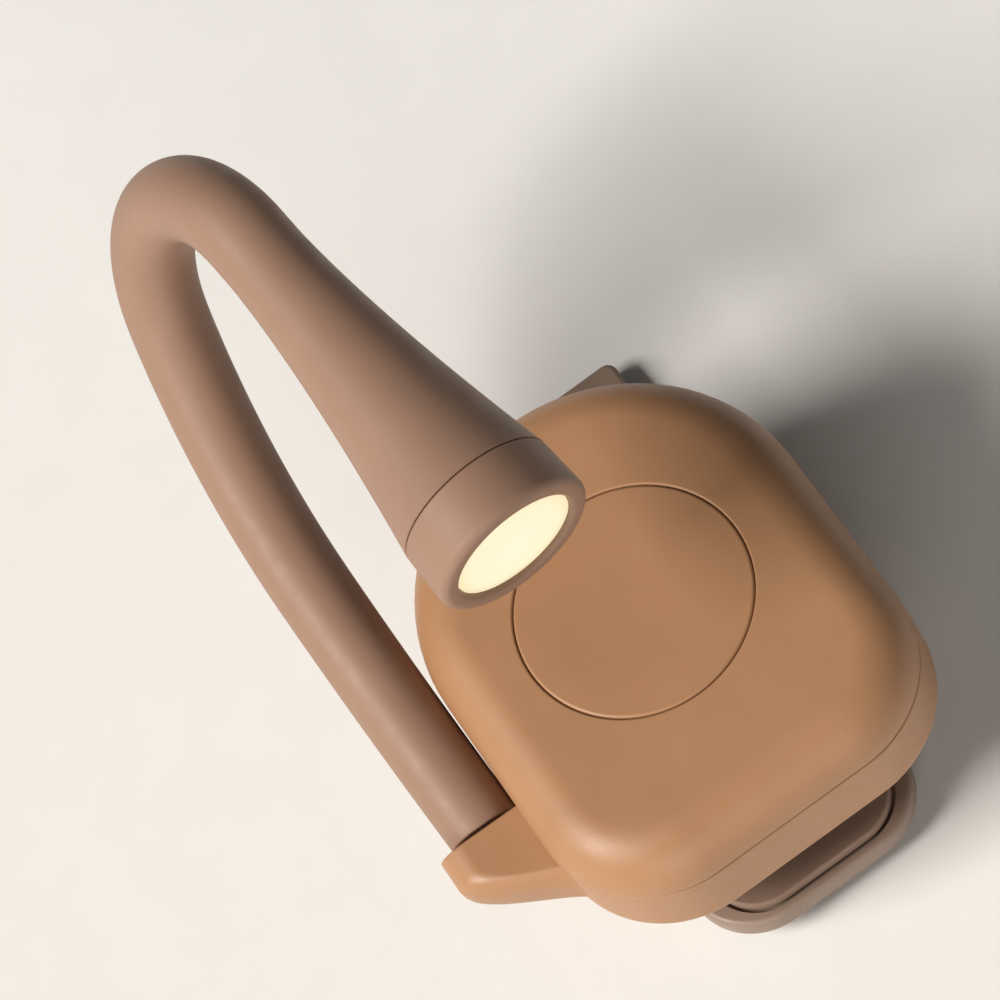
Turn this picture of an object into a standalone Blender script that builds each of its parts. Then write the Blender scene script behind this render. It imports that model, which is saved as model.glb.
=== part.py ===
"""Clip-on reading light.

A pebble-shaped battery housing with a round press key lies over the page, and a sprung lever
behind it grips the page from below.  A bendable neck leaves a boss on the housing's left flank,
curls over in a tight loop and flares into a bell-shaped head with a round lens.

Frame: the page lies in the XY plane under the housing.  +X runs along the page's top edge, +Y
points off the page towards the handle, +Z points out of the page.  The origin is the centre of
the front jaw pad's grip face.  Sizes are in metres.
"""

import math

import bmesh
import bpy
from mathutils import Matrix, Vector

MM = 0.001

# Clearances and mesh allowances
GAP = 0.3 * MM
OVERRUN = 2.0 * MM
MERGE_DISTANCE = 0.001 * MM

# Facets of the round forms
SHOULDER_STEPS = 4
CORNER_STEPS = 6
HINGE_STEPS = 8
CROWN_STEPS = 3
END_STEPS = 9
TURN_STEPS = 28
SMALL_TURN_STEPS = 16
NECK_SIDES = 16
CUP_STEPS = 3
SMOOTH_ANGLE = math.radians(35)

# Housing
HOUSING_WIDTH = 34.4 * MM
HOUSING_LENGTH = 43.0 * MM
HOUSING_THICKNESS = 12.0 * MM
HOUSING_WALL = 1.6 * MM
FLOOR_THICKNESS = 2.0 * MM
JAW_REACH = 8.0 * MM
JAW_CORNER_RADIUS = 10.0 * MM
SHOULDER_RADIUS = 4.5 * MM
UNDERSIDE_RADIUS = 1.4 * MM
COVER_DEPTH = 4.8 * MM
TONGUE_HEIGHT = 1.0 * MM
TONGUE_THICKNESS = 0.7 * MM

# Screw posts and screws that hold the two shells together
POST_RADIUS = 2.0 * MM
POST_ANGLE = math.radians(36)
SCREW_RADIUS = 0.8 * MM
SCREW_HEAD_RADIUS = 1.5 * MM
SCREW_HEAD_THICKNESS = 0.6 * MM
SCREW_SEAT_DEPTH = 1.4 * MM
SCREW_BITE = 4.0 * MM

# Grip pads
PAD_WIDTH = 17.0 * MM
PAD_LENGTH = 14.0 * MM
PAD_THICKNESS = 1.2 * MM
PAD_SEAT_DEPTH = 0.5 * MM
PAD_CORNER_RADIUS = 2.0 * MM
PAD_GROOVES = 4
PAD_GROOVE_WIDTH = 0.6 * MM
PAD_GROOVE_DEPTH = 0.4 * MM

# Press key and what it works
KEY_RADIUS = 10.0 * MM
KEY_FLANGE_WIDTH = 1.3 * MM
KEY_FLANGE_THICKNESS = 0.8 * MM
KEY_DISH = 0.25 * MM
KEY_EDGE = 0.4 * MM
KEY_RIM_WIDTH = 1.2 * MM
KEY_TRAVEL = 0.5 * MM
SWITCH_WIDTH = 6.0 * MM
SWITCH_HEIGHT = 0.8 * MM
PLUNGER_RADIUS = 1.6 * MM
PLUNGER_ENGAGEMENT = 0.2 * MM

# Board, its parts, the battery and the charging socket
BOARD_THICKNESS = 0.8 * MM
CHIP_WIDTH = 4.9 * MM
CHIP_LENGTH = 3.9 * MM
CHIP_HEIGHT = 1.2 * MM
COIL_WIDTH = 3.0 * MM
PARTS_SPACING = 7.0 * MM
BATTERY_SIDE_ROOM = 3.0 * MM
BATTERY_EDGE = 0.8 * MM
SOCKET_WIDTH = 8.9 * MM
SOCKET_HEIGHT = 3.2 * MM
SOCKET_LENGTH = 7.3 * MM
SOCKET_WALL = 0.3 * MM
SOCKET_BACK_WALL = 0.9 * MM
SOCKET_SETBACK = 1.0 * MM
TONGUE_PLATE_WIDTH = 6.7 * MM
TONGUE_PLATE_THICKNESS = 0.7 * MM

# Hinge of the rear lever
GRIP_OPENING = 5.0 * MM
HINGE_Y = 14.5 * MM
PIN_RADIUS = 1.25 * MM
PIN_END = 0.4 * MM
EAR_RADIUS = 2.6 * MM
EAR_THICKNESS = 2.5 * MM
KNUCKLE_RADIUS = 2.4 * MM
KNUCKLE_THICKNESS = 2.2 * MM
SPRING_SIDE_ROOM = 0.5 * MM

# Rear lever
LEVER_WIDTH = 21.0 * MM
LEVER_TAIL = 9.2 * MM
LEVER_THICKNESS = 2.4 * MM
LEVER_JAW_RADIUS = 6.0 * MM
LEVER_TAIL_RADIUS = 1.0 * MM
LEVER_EDGE = 0.5 * MM
LEVER_KINK = 5.5 * MM
LEVER_SLOPE = math.radians(4)
GRIP_RIBS = 4
GRIP_RIB_PITCH = 2.4 * MM
GRIP_RIB_RADIUS = 0.6 * MM
GRIP_RIB_SIDE = 3.5 * MM
GRIP_RIB_END = 3.0 * MM

# Torsion spring on the hinge pin
WIRE_RADIUS = 0.4 * MM
COIL_RADIUS = 2.1 * MM
COIL_PITCH = 1.6 * MM
COIL_TURNS = 4.5
COIL_POINTS_PER_TURN = 9
SPRING_LEG = 11.0 * MM
LEAST_COIL_GAP = 0.4 * MM

# Neck: a straight leg from the boss, a gentle sweep and a tight loop, all in one plane
NECK_RADIUS = 3.2 * MM
CORE_RADIUS = 1.1 * MM
NECK_FLANK_GAP = 0.5 * MM
NECK_ROOT_Y = 8.4 * MM
NECK_ROOT_Z = 4.6 * MM
NECK_HEADING = math.radians(0.8)
NECK_CLIMB = math.radians(16.6)
NECK_LEAN = math.radians(28.8)
LEG_LENGTH = 24.2 * MM
SWEEP_RADIUS = 50.8 * MM
SWEEP_TURN = math.radians(28.8)
SWEEP_STEPS = 5
LOOP_RADIUS = 10.7 * MM
LOOP_TURN = math.radians(139.1)
LOOP_STEPS = 13
NECK_LINKS = 7
FIRST_PIVOT = 4.0 * MM
CORE_TIP_SETBACK = 0.3 * MM
CORE_FOOT_SETBACK = 1.0 * MM

# Boss that carries the neck
BOSS_RADIUS = 4.1 * MM
BOSS_TAIL_Y = -2.5 * MM
BOSS_TAIL_INSET = 1.5 * MM
BOSS_ROOT_INSET = 4.0 * MM
BOSS_STRAIGHT = 3.0 * MM
BOSS_STEPS = 7
BOSS_ROUND = 2.6 * MM
BOSS_LIFT = 0.2 * MM
SPIGOT_RADIUS = 1.6 * MM
SPIGOT_LENGTH = 3.0 * MM
LEAD_HOLE_RADIUS = 0.8 * MM

# Head, measured back from the light's front
HEAD_LENGTH = 34.7 * MM
BELL_RADIUS = 7.0 * MM
BELL_LENGTH = 32.5 * MM
BELL_CURVE = 1.5
BELL_STEPS = 7
SLEEVE_WALL = 1.1 * MM
BEZEL_LENGTH = 5.0 * MM
BEZEL_RADIUS = 7.2 * MM
BEZEL_BORE = 5.9 * MM
BEZEL_LIP = 0.9 * MM
BEZEL_EDGE = 0.8 * MM
LENS_CHAMFER = 0.3 * MM
LENS_APERTURE = 5.4 * MM
LENS_FLANGE = 1.0 * MM
LENS_SETBACK = 0.5 * MM
LENS_CROWN = 0.4 * MM
CUP_WALL = 0.8 * MM
CUP_LENGTH = 14.5 * MM
REFLECTOR_LENGTH = 5.2 * MM
REFLECTOR_THROAT = 2.4 * MM
REFLECTOR_WALL = 0.4 * MM
LED_BOARD_RADIUS = 3.5 * MM
LED_BOARD_THICKNESS = 0.8 * MM
LED_WIDTH = 1.4 * MM
LED_LENGTH = 2.6 * MM
LED_HEIGHT = 0.6 * MM
LED_SPACING = 1.9 * MM
FERRULE_WALL = 0.6 * MM
FERRULE_LENGTH = 4.0 * MM

# Places that follow from the sizes above
HALF_WIDTH = HOUSING_WIDTH / 2
JAW_TIP_Y = -JAW_REACH
HANDLE_END_Y = JAW_TIP_Y + HOUSING_LENGTH
ROUND_CENTRE_Y = HANDLE_END_Y - HALF_WIDTH
PAD_PROUD = PAD_THICKNESS + GAP - PAD_SEAT_DEPTH
UNDERSIDE_Z = PAD_PROUD
FACE_Z = UNDERSIDE_Z + HOUSING_THICKNESS
PARTING_Z = FACE_Z - COVER_DEPTH
FLOOR_Z = UNDERSIDE_Z + FLOOR_THICKNESS
CEILING_Z = FACE_Z - HOUSING_WALL

KEY_Y = (JAW_TIP_Y + HANDLE_END_Y) / 2
KEY_FLANGE_TOP_Z = CEILING_Z - GAP
KEY_BOTTOM_Z = KEY_FLANGE_TOP_Z - KEY_FLANGE_THICKNESS
SWITCH_TOP_Z = KEY_BOTTOM_Z - KEY_TRAVEL - GAP
SWITCH_BOTTOM_Z = SWITCH_TOP_Z - SWITCH_HEIGHT
BOARD_TOP_Z = SWITCH_BOTTOM_Z - GAP
BOARD_BOTTOM_Z = BOARD_TOP_Z - BOARD_THICKNESS
BATTERY_TOP_Z = BOARD_BOTTOM_Z - GAP
BATTERY_BOTTOM_Z = FLOOR_Z + GAP

POST_CIRCLE = HALF_WIDTH - HOUSING_WALL - POST_RADIUS - GAP
REAR_POST_X = POST_CIRCLE * math.cos(POST_ANGLE)
REAR_POST_Y = ROUND_CENTRE_Y + POST_CIRCLE * math.sin(POST_ANGLE)
JAW_POST_Y = JAW_TIP_Y + HOUSING_WALL + POST_RADIUS + GAP
POSTS = ((REAR_POST_X, REAR_POST_Y), (-REAR_POST_X, REAR_POST_Y), (0.0, JAW_POST_Y))
SCREW_SEAT_Z = UNDERSIDE_Z + SCREW_SEAT_DEPTH

SOCKET_FRONT_Y = HANDLE_END_Y - SOCKET_SETBACK
SOCKET_BACK_Y = SOCKET_FRONT_Y - SOCKET_LENGTH
SOCKET_TOP_Z = BOARD_BOTTOM_Z - GAP
SOCKET_Z = SOCKET_TOP_Z - SOCKET_HEIGHT / 2
BATTERY_LOW_Y = JAW_POST_Y + POST_RADIUS + GAP
BATTERY_HIGH_Y = min(REAR_POST_Y - POST_RADIUS, SOCKET_BACK_Y) - GAP

HINGE_Z = -GRIP_OPENING / 2
LEVER_TOP_Z = -GRIP_OPENING - PAD_PROUD
LEVER_BOTTOM_Z = LEVER_TOP_Z - LEVER_THICKNESS
LEVER_KINK_Y = HINGE_Y + LEVER_KINK
LEVER_TAIL_Y = HANDLE_END_Y + LEVER_TAIL
COIL_HALF_LENGTH = COIL_TURNS * COIL_PITCH / 2
KNUCKLE_INNER_X = COIL_HALF_LENGTH + WIRE_RADIUS + SPRING_SIDE_ROOM
KNUCKLE_OUTER_X = KNUCKLE_INNER_X + KNUCKLE_THICKNESS
EAR_INNER_X = KNUCKLE_OUTER_X + GAP
EAR_OUTER_X = EAR_INNER_X + EAR_THICKNESS

NECK_ROOT_X = -HALF_WIDTH - NECK_FLANK_GAP - NECK_RADIUS
CUP_RADIUS = NECK_RADIUS + GAP
BORE_RADIUS = CORE_RADIUS + GAP
CUP_RIM = math.sqrt(CUP_RADIUS ** 2 - NECK_RADIUS ** 2)
DOME_TIP = math.sqrt(NECK_RADIUS ** 2 - BORE_RADIUS ** 2)
SWEEP_LENGTH = SWEEP_RADIUS * SWEEP_TURN
LOOP_START = LEG_LENGTH + SWEEP_LENGTH
LOOP_LENGTH = LOOP_RADIUS * LOOP_TURN
NECK_LENGTH = LOOP_START + LOOP_LENGTH
LINK_LENGTH = (NECK_LENGTH - FIRST_PIVOT) / NECK_LINKS
SEAM = BEZEL_LENGTH + GAP
CUP_FRONT = BEZEL_LIP + GAP + LENS_FLANGE + GAP
CUP_BACK = CUP_FRONT + CUP_LENGTH
POCKET_FRONT = CUP_BACK + GAP
FERRULE_FRONT = POCKET_FRONT + GAP

NECK_ROOT = Vector((NECK_ROOT_X, NECK_ROOT_Y, NECK_ROOT_Z))
LEG_DIRECTION = Vector((
    math.cos(NECK_CLIMB) * math.sin(NECK_HEADING),
    math.cos(NECK_CLIMB) * math.cos(NECK_HEADING),
    math.sin(NECK_CLIMB),
))
LEG_SIDE = LEG_DIRECTION.cross(Vector((0, 0, 1))).normalized()
LEG_UP = LEG_SIDE.cross(LEG_DIRECTION)
CURL_DIRECTION = LEG_UP * math.cos(NECK_LEAN) + LEG_SIDE * math.sin(NECK_LEAN)
LOOP_NORMAL = LEG_DIRECTION.cross(CURL_DIRECTION)


def empty_scene():
    """Remove the scene's objects and make the two collections of the model."""
    for obj in list(bpy.data.objects):
        bpy.data.objects.remove(obj, do_unlink=True)
    made = []
    for name in ("clip_reading_light", "cutters"):
        collection = bpy.data.collections.new(name)
        bpy.context.scene.collection.children.link(collection)
        made.append(collection)
    return made


PARTS, CUTTERS = empty_scene()


def finish(name, colour, roughness, metallic=0.0):
    """A plain Principled finish for one kind of surface."""
    made = bpy.data.materials.new(name)
    made.use_nodes = True
    shader = made.node_tree.nodes["Principled BSDF"]
    shader.inputs["Base Color"].default_value = (*colour, 1.0)
    shader.inputs["Roughness"].default_value = roughness
    shader.inputs["Metallic"].default_value = metallic
    made.diffuse_color = (*colour, 1.0)
    return made


def part(name, data, look):
    """One named piece of the light, with a finish of its own."""
    obj = bpy.data.objects.new(name, data)
    PARTS.objects.link(obj)
    data.materials.append(finish(name + "_finish", *look))
    if isinstance(data, bpy.types.Mesh):
        data.shade_smooth()
        data.set_sharp_from_angle(angle=SMOOTH_ANGLE)
    return obj


def tool(name, data):
    """A solid that only cuts or joins another and is never shown."""
    obj = bpy.data.objects.new(name, data)
    CUTTERS.objects.link(obj)
    obj.hide_render = True
    obj.display_type = "WIRE"
    return obj


def combine(obj, operation, other):
    """Add a Boolean modifier that joins another solid or cuts it away."""
    modifier = obj.modifiers.new(other.name, "BOOLEAN")
    modifier.operation = operation
    modifier.solver = "EXACT"
    modifier.object = other


def join(obj, other):
    combine(obj, "UNION", other)


def cut(obj, other):
    combine(obj, "DIFFERENCE", other)


def joint_frame(name, location, rotation=None):
    """An empty on a joint's axis, which carries the pieces that turn or slide there."""
    frame = bpy.data.objects.new(name, None)
    frame.location = location
    if rotation is not None:
        frame.rotation_mode = "QUATERNION"
        frame.rotation_quaternion = rotation
    PARTS.objects.link(frame)
    return frame


def carry(frame, obj):
    """Hang a piece that is modelled in the light's own frame on a joint's empty."""
    obj.parent = frame
    obj.location = obj.location - frame.location


def look(red, green, blue, roughness, metallic=0.0):
    """The arguments of a finish, in the order that finish takes them."""
    return (red, green, blue), roughness, metallic


HOUSING_LOOK = look(0.43, 0.24, 0.13, 0.5)
SILICONE_LOOK = look(0.46, 0.29, 0.19, 0.6)
PAD_LOOK = look(0.38, 0.23, 0.15, 0.75)
STEEL_LOOK = look(0.55, 0.55, 0.56, 0.3, 1.0)
SPRING_LOOK = look(0.42, 0.42, 0.43, 0.35, 1.0)
BOARD_LOOK = look(0.05, 0.22, 0.1, 0.5)
CHIP_LOOK = look(0.03, 0.03, 0.03, 0.5)
CELL_LOOK = look(0.6, 0.62, 0.64, 0.3, 0.6)
CORE_LOOK = look(0.45, 0.44, 0.42, 0.4, 1.0)
LENS_LOOK = look(0.95, 0.88, 0.68, 0.1)
REFLECTOR_LOOK = look(0.9, 0.9, 0.88, 0.1, 1.0)
WARM_LOOK = look(0.95, 0.7, 0.25, 0.4)
COOL_LOOK = look(0.95, 0.9, 0.6, 0.4)


def mesh_from_bmesh(name, bm):
    """A mesh whose faces point outwards, from a finished bmesh."""
    bmesh.ops.recalc_face_normals(bm, faces=bm.faces)
    mesh = bpy.data.meshes.new(name)
    bm.to_mesh(mesh)
    bm.free()
    return mesh


def block_mesh(name, *corner_pairs):
    """One or more boxes, each between a low and a high corner."""
    bm = bmesh.new()
    for low, high in corner_pairs:
        low, high = Vector(low), Vector(high)
        matrix = Matrix.Translation((low + high) / 2) @ Matrix.Diagonal((*(high - low), 1.0))
        bmesh.ops.create_cube(bm, size=1.0, matrix=matrix)
    return mesh_from_bmesh(name, bm)


def rod_mesh(name, start, end, radius, steps=SMALL_TURN_STEPS):
    """A cylinder between two points."""
    start, end = Vector(start), Vector(end)
    turn = (end - start).to_track_quat("Z", "Y").to_matrix().to_4x4()
    matrix = Matrix.Translation((start + end) / 2) @ turn
    bm = bmesh.new()
    bmesh.ops.create_cone(
        bm, cap_ends=True, segments=steps, radius1=radius, radius2=radius,
        depth=(end - start).length, matrix=matrix,
    )
    return mesh_from_bmesh(name, bm)


def solid_mesh(curve_object):
    """The closed mesh of a curve object, which is then removed."""
    bpy.context.scene.collection.objects.link(curve_object)
    bpy.context.view_layer.update()
    evaluated = curve_object.evaluated_get(bpy.context.evaluated_depsgraph_get())
    bm = bmesh.new()
    bm.from_mesh(bpy.data.meshes.new_from_object(evaluated))
    bm.transform(curve_object.matrix_world)
    bmesh.ops.remove_doubles(bm, verts=bm.verts, dist=MERGE_DISTANCE)
    bmesh.ops.dissolve_limit(
        bm, angle_limit=math.radians(1), verts=bm.verts, edges=bm.edges,
    )
    name = curve_object.name
    bpy.data.objects.remove(curve_object, do_unlink=True)
    return mesh_from_bmesh(name, bm)


def arc(centre_x, centre_y, radius, start, end, steps):
    """Points along an arc, both ends included."""
    return [
        (
            centre_x + radius * math.cos(start + (end - start) * step / steps),
            centre_y + radius * math.sin(start + (end - start) * step / steps),
        )
        for step in range(steps + 1)
    ]


def rounded_outline(half_width, low_y, high_y, low_radius, high_radius, steps, inset=0.0):
    """A rectangle with one corner radius at its low end and another at its high end."""
    points = []
    corners = (
        (half_width - high_radius, high_y - high_radius, high_radius),
        (high_radius - half_width, high_y - high_radius, high_radius),
        (low_radius - half_width, low_y + low_radius, low_radius),
        (half_width - low_radius, low_y + low_radius, low_radius),
    )
    for quarter, (x, y, radius) in enumerate(corners):
        start = quarter * math.pi / 2
        points += arc(x, y, radius - inset, start, start + math.pi / 2, steps)
    kept = [points[0]]
    for point in points[1:]:
        if math.dist(point, kept[-1]) > MERGE_DISTANCE:
            kept.append(point)
    return kept


def prism_mesh(name, outline, low_z, high_z):
    """A flat outline with thickness, from a filled 2D curve."""
    curve = bpy.data.curves.new(name, "CURVE")
    curve.dimensions = "2D"
    curve.fill_mode = "BOTH"
    curve.extrude = (high_z - low_z) / 2
    spline = curve.splines.new("POLY")
    spline.points.add(len(outline) - 1)
    for point, (x, y) in zip(spline.points, outline):
        point.co = (x, y, 0.0, 1.0)
    spline.use_cyclic_u = True
    carrier = bpy.data.objects.new(name, curve)
    carrier.location.z = (low_z + high_z) / 2
    return solid_mesh(carrier)


def side_prism_mesh(name, outline, low_x, high_x):
    """An outline of (y, z) points with thickness along X."""
    mesh = prism_mesh(name, outline, low_x, high_x)
    mesh.transform(Matrix(((0, 0, 1, 0), (1, 0, 0, 0), (0, 1, 0, 0), (0, 0, 0, 1))))
    return mesh


def end_prism_mesh(name, outline, low_y, high_y):
    """An outline of (x, z) points with thickness along Y."""
    mesh = prism_mesh(name, outline, -high_y, -low_y)
    mesh.transform(Matrix(((1, 0, 0, 0), (0, 0, -1, 0), (0, 1, 0, 0), (0, 0, 0, 1))))
    return mesh


def round_rim(mesh, height, radius, steps):
    """Round the edges of a prism that lie at one height."""
    bm = bmesh.new()
    bm.from_mesh(mesh)
    rim = [
        edge for edge in bm.edges
        if all(abs(vertex.co.z - height) < MERGE_DISTANCE for vertex in edge.verts)
    ]
    bmesh.ops.bevel(
        bm, geom=rim, offset=radius, segments=steps, profile=0.5, affect="EDGES",
        clamp_overlap=True,
    )
    bm.to_mesh(mesh)
    bm.free()


def turned(name, profile, finish_look, steps=TURN_STEPS, closed=False):
    """A profile of (radius, height) points turned about Z, outer side first, top to bottom."""
    mesh = bpy.data.meshes.new(name)
    edges = [(index, index + 1) for index in range(len(profile) - 1)]
    if closed:
        edges.append((len(profile) - 1, 0))
    mesh.from_pydata([(radius, 0.0, height) for radius, height in profile], edges, [])
    obj = part(name, mesh, finish_look)
    screw = obj.modifiers.new("turn", "SCREW")
    screw.steps = steps
    screw.render_steps = steps
    screw.use_merge_vertices = True
    screw.merge_threshold = MERGE_DISTANCE
    screw.use_smooth_shade = True
    return obj


def tube_curve(name, points, radius, resolution):
    """A round wire through the points, with flat closed ends."""
    curve = bpy.data.curves.new(name, "CURVE")
    curve.dimensions = "3D"
    curve.bevel_depth = radius
    curve.bevel_resolution = resolution
    curve.use_fill_caps = True
    spline = curve.splines.new("POLY")
    spline.points.add(len(points) - 1)
    for point, place in zip(spline.points, points):
        point.co = (*place, 1.0)
    return curve


def pebble_outline(inset=0.0):
    """The housing's outline, moved inwards by an inset."""
    return rounded_outline(
        HALF_WIDTH, JAW_TIP_Y, HANDLE_END_Y, JAW_CORNER_RADIUS, HALF_WIDTH, END_STEPS, inset,
    )


def pebble_mesh(name, inset, low_z, high_z, low_round, high_round):
    """The housing's rounded form, or the cavity inside it."""
    mesh = prism_mesh(name, pebble_outline(inset), low_z, high_z)
    round_rim(mesh, high_z, high_round, SHOULDER_STEPS)
    if low_round > 0:
        round_rim(mesh, low_z, low_round, SHOULDER_STEPS // 2)
    return mesh


def housing_blank(name):
    """The whole outer form, from which each shell is cut."""
    mesh = pebble_mesh(name, 0.0, UNDERSIDE_Z, FACE_Z, UNDERSIDE_RADIUS, SHOULDER_RADIUS)
    return part(name, mesh, HOUSING_LOOK)


def housing_cavity(name):
    """The space between the shells' walls, floor and ceiling."""
    inner_round = SHOULDER_RADIUS - HOUSING_WALL
    mesh = pebble_mesh(name, HOUSING_WALL, FLOOR_Z, CEILING_Z, 0.0, inner_round)
    return tool(name, mesh)


def slab(name, low_z, high_z):
    """A block wider than the housing, to part it at a height."""
    side = HOUSING_LENGTH
    mesh = block_mesh(name, ((-side, -side, low_z), (side, side, high_z)))
    return tool(name, mesh)


def build_front_shell():
    """The face with its wide round shoulder, the key's hole and three screw posts."""
    shell = housing_blank("front_shell")
    cut(shell, housing_cavity("front_cavity"))
    for number, (x, y) in enumerate(POSTS):
        top = (x, y, CEILING_Z + HOUSING_WALL / 4)
        join(shell, tool(f"post_{number}", rod_mesh("post", (x, y, FLOOR_Z + GAP), top, POST_RADIUS)))
    # The wall under the parting plane goes, and the posts stay.
    low = UNDERSIDE_Z - OVERRUN
    wall = pebble_mesh_ring("front_parting", -OVERRUN, HOUSING_WALL, low, PARTING_Z + GAP)
    cut(shell, tool("front_parting", wall))
    floor = prism_mesh("front_floor", pebble_outline(HOUSING_WALL / 2), low, FLOOR_Z + GAP)
    cut(shell, tool("front_floor", floor))
    rebate_inset = HOUSING_WALL - TONGUE_THICKNESS - GAP
    rebate_top = PARTING_Z + TONGUE_HEIGHT + GAP
    rebate = pebble_mesh_ring("front_rebate", rebate_inset, HOUSING_WALL + GAP, PARTING_Z, rebate_top)
    cut(shell, tool("front_rebate", rebate))
    hole = rod_mesh(
        "key_hole", (0, KEY_Y, CEILING_Z - OVERRUN), (0, KEY_Y, FACE_Z + OVERRUN),
        KEY_RADIUS + GAP, TURN_STEPS,
    )
    cut(shell, tool("key_hole", hole))
    for number, (x, y) in enumerate(POSTS):
        bore_top = SCREW_SEAT_Z + SCREW_BITE + OVERRUN
        bore = rod_mesh("post_bore", (x, y, low), (x, y, bore_top), SCREW_RADIUS + GAP)
        cut(shell, tool(f"post_bore_{number}", bore))
    return shell


def pebble_mesh_ring(name, outer_inset, inner_inset, low_z, high_z):
    """A band that follows the housing's outline between two insets."""
    rings = [pebble_outline(outer_inset), pebble_outline(inner_inset)]
    bm = bmesh.new()
    loops = []
    for outline in rings:
        for z in (low_z, high_z):
            loops.append([bm.verts.new((x, y, z)) for x, y in outline])
    outer_low, outer_high, inner_low, inner_high = loops
    count = len(outer_low)
    for first, second in (
        (outer_low, outer_high), (outer_high, inner_high), (inner_high, inner_low), (inner_low, outer_low),
    ):
        for index in range(count):
            following = (index + 1) % count
            bm.faces.new((first[index], first[following], second[following], second[index]))
    return mesh_from_bmesh(name, bm)


def boss_outline():
    """The lug's plan: an easy curve out of the flank to the neck's mouth, and its hidden root."""
    tail_x = BOSS_TAIL_INSET - HALF_WIDTH
    root_x = BOSS_ROOT_INSET - HALF_WIDTH
    outer_x = NECK_ROOT_X - BOSS_RADIUS
    straight_y = NECK_ROOT_Y - BOSS_STRAIGHT
    points = []
    for step in range(BOSS_STEPS + 1):
        share = step / BOSS_STEPS
        ease = share * share * (3 - 2 * share)
        points.append((tail_x + (outer_x - tail_x) * ease, BOSS_TAIL_Y + (straight_y - BOSS_TAIL_Y) * share))
    end_y = NECK_ROOT_Y + BOSS_RADIUS
    return points + [(outer_x, end_y), (root_x, end_y), (root_x, BOSS_TAIL_Y)]


def neck_boss():
    """The rounded lug on the left flank, cut square to the neck at its mouth."""
    low_z = UNDERSIDE_Z + BOSS_LIFT
    high_z = PARTING_Z - BOSS_LIFT
    mesh = prism_mesh("neck_boss", boss_outline(), low_z, high_z)
    round_rim(mesh, high_z, BOSS_ROUND, SHOULDER_STEPS)
    round_rim(mesh, low_z, BOSS_ROUND, SHOULDER_STEPS)
    boss = tool("neck_boss", mesh)
    mouth = rod_mesh("boss_mouth", neck_place(0.0), neck_place(BOSS_RADIUS + OVERRUN), HALF_WIDTH)
    cut(boss, tool("boss_mouth", mouth))
    return boss


def hinge_profile(radius, far_z):
    """The side view of an ear or knuckle: round about the pin, straight to its root."""
    towards_root = 1 if far_z > HINGE_Z else -1
    start = math.pi if towards_root > 0 else 0.0
    points = arc(HINGE_Y, HINGE_Z, radius, start, start + math.pi, HINGE_STEPS)
    return points + [(points[-1][0], far_z), (points[0][0], far_z)]


def build_base_shell():
    """The tray: flank boss, hinge ears, pad seat, socket mouth, screw seats and tongue."""
    shell = housing_blank("base_shell")
    join(shell, neck_boss())
    cut(shell, housing_cavity("base_cavity"))
    cut(shell, slab("base_parting", PARTING_Z, FACE_Z + OVERRUN))
    tongue = pebble_mesh_ring(
        "base_tongue", HOUSING_WALL - TONGUE_THICKNESS, HOUSING_WALL,
        PARTING_Z - TONGUE_HEIGHT, PARTING_Z + TONGUE_HEIGHT,
    )
    join(shell, tool("base_tongue", tongue))
    ear_root_z = UNDERSIDE_Z + FLOOR_THICKNESS / 2
    for side in (-1, 1):
        low_x, high_x = sorted((side * EAR_INNER_X, side * EAR_OUTER_X))
        ear = side_prism_mesh("hinge_ear", hinge_profile(EAR_RADIUS, ear_root_z), low_x, high_x)
        join(shell, tool(f"hinge_ear_{side + 1}", ear))
    cut(shell, hinge_bore("ear_bore"))
    seat = pad_outline(GAP)
    cut(shell, tool("front_pad_seat", prism_mesh(
        "front_pad_seat", seat, UNDERSIDE_Z - OVERRUN, UNDERSIDE_Z + PAD_SEAT_DEPTH,
    )))
    mouth = socket_outline(GAP)
    cut(shell, tool("socket_mouth", end_prism_mesh(
        "socket_mouth", mouth, SOCKET_BACK_Y, HANDLE_END_Y + OVERRUN,
    )))
    for number, (x, y) in enumerate(POSTS):
        low = (x, y, UNDERSIDE_Z - OVERRUN)
        head = rod_mesh("screw_seat", low, (x, y, SCREW_SEAT_Z), SCREW_HEAD_RADIUS + GAP)
        cut(shell, tool(f"screw_seat_{number}", head))
        shank = rod_mesh("screw_hole", low, (x, y, FLOOR_Z + OVERRUN), SCREW_RADIUS + GAP)
        cut(shell, tool(f"screw_hole_{number}", shank))
    spigot_bottom = neck_place(-SPIGOT_LENGTH - GAP)
    spigot = rod_mesh("spigot_bore", spigot_bottom, neck_place(OVERRUN), SPIGOT_RADIUS + GAP)
    cut(shell, tool("spigot_bore", spigot))
    lead_start = neck_place(-SPIGOT_LENGTH)
    lead_end = (HOUSING_WALL + OVERRUN - HALF_WIDTH, lead_start.y, FLOOR_Z + LEAD_HOLE_RADIUS)
    lead = rod_mesh("lead_hole", lead_start, lead_end, LEAD_HOLE_RADIUS)
    cut(shell, tool("lead_hole", lead))
    return shell


def hinge_bore(name):
    """The hole for the pin, right through the hinge."""
    reach = LEVER_WIDTH / 2 + OVERRUN
    mesh = rod_mesh(name, (-reach, HINGE_Y, HINGE_Z), (reach, HINGE_Y, HINGE_Z), PIN_RADIUS + GAP)
    return tool(name, mesh)


def pad_outline(clearance):
    """A grip pad's plan, or its seat with the clearance added."""
    half_length = PAD_LENGTH / 2
    return rounded_outline(
        PAD_WIDTH / 2, -half_length, half_length, PAD_CORNER_RADIUS, PAD_CORNER_RADIUS,
        CORNER_STEPS // 2, -clearance,
    )


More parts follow.
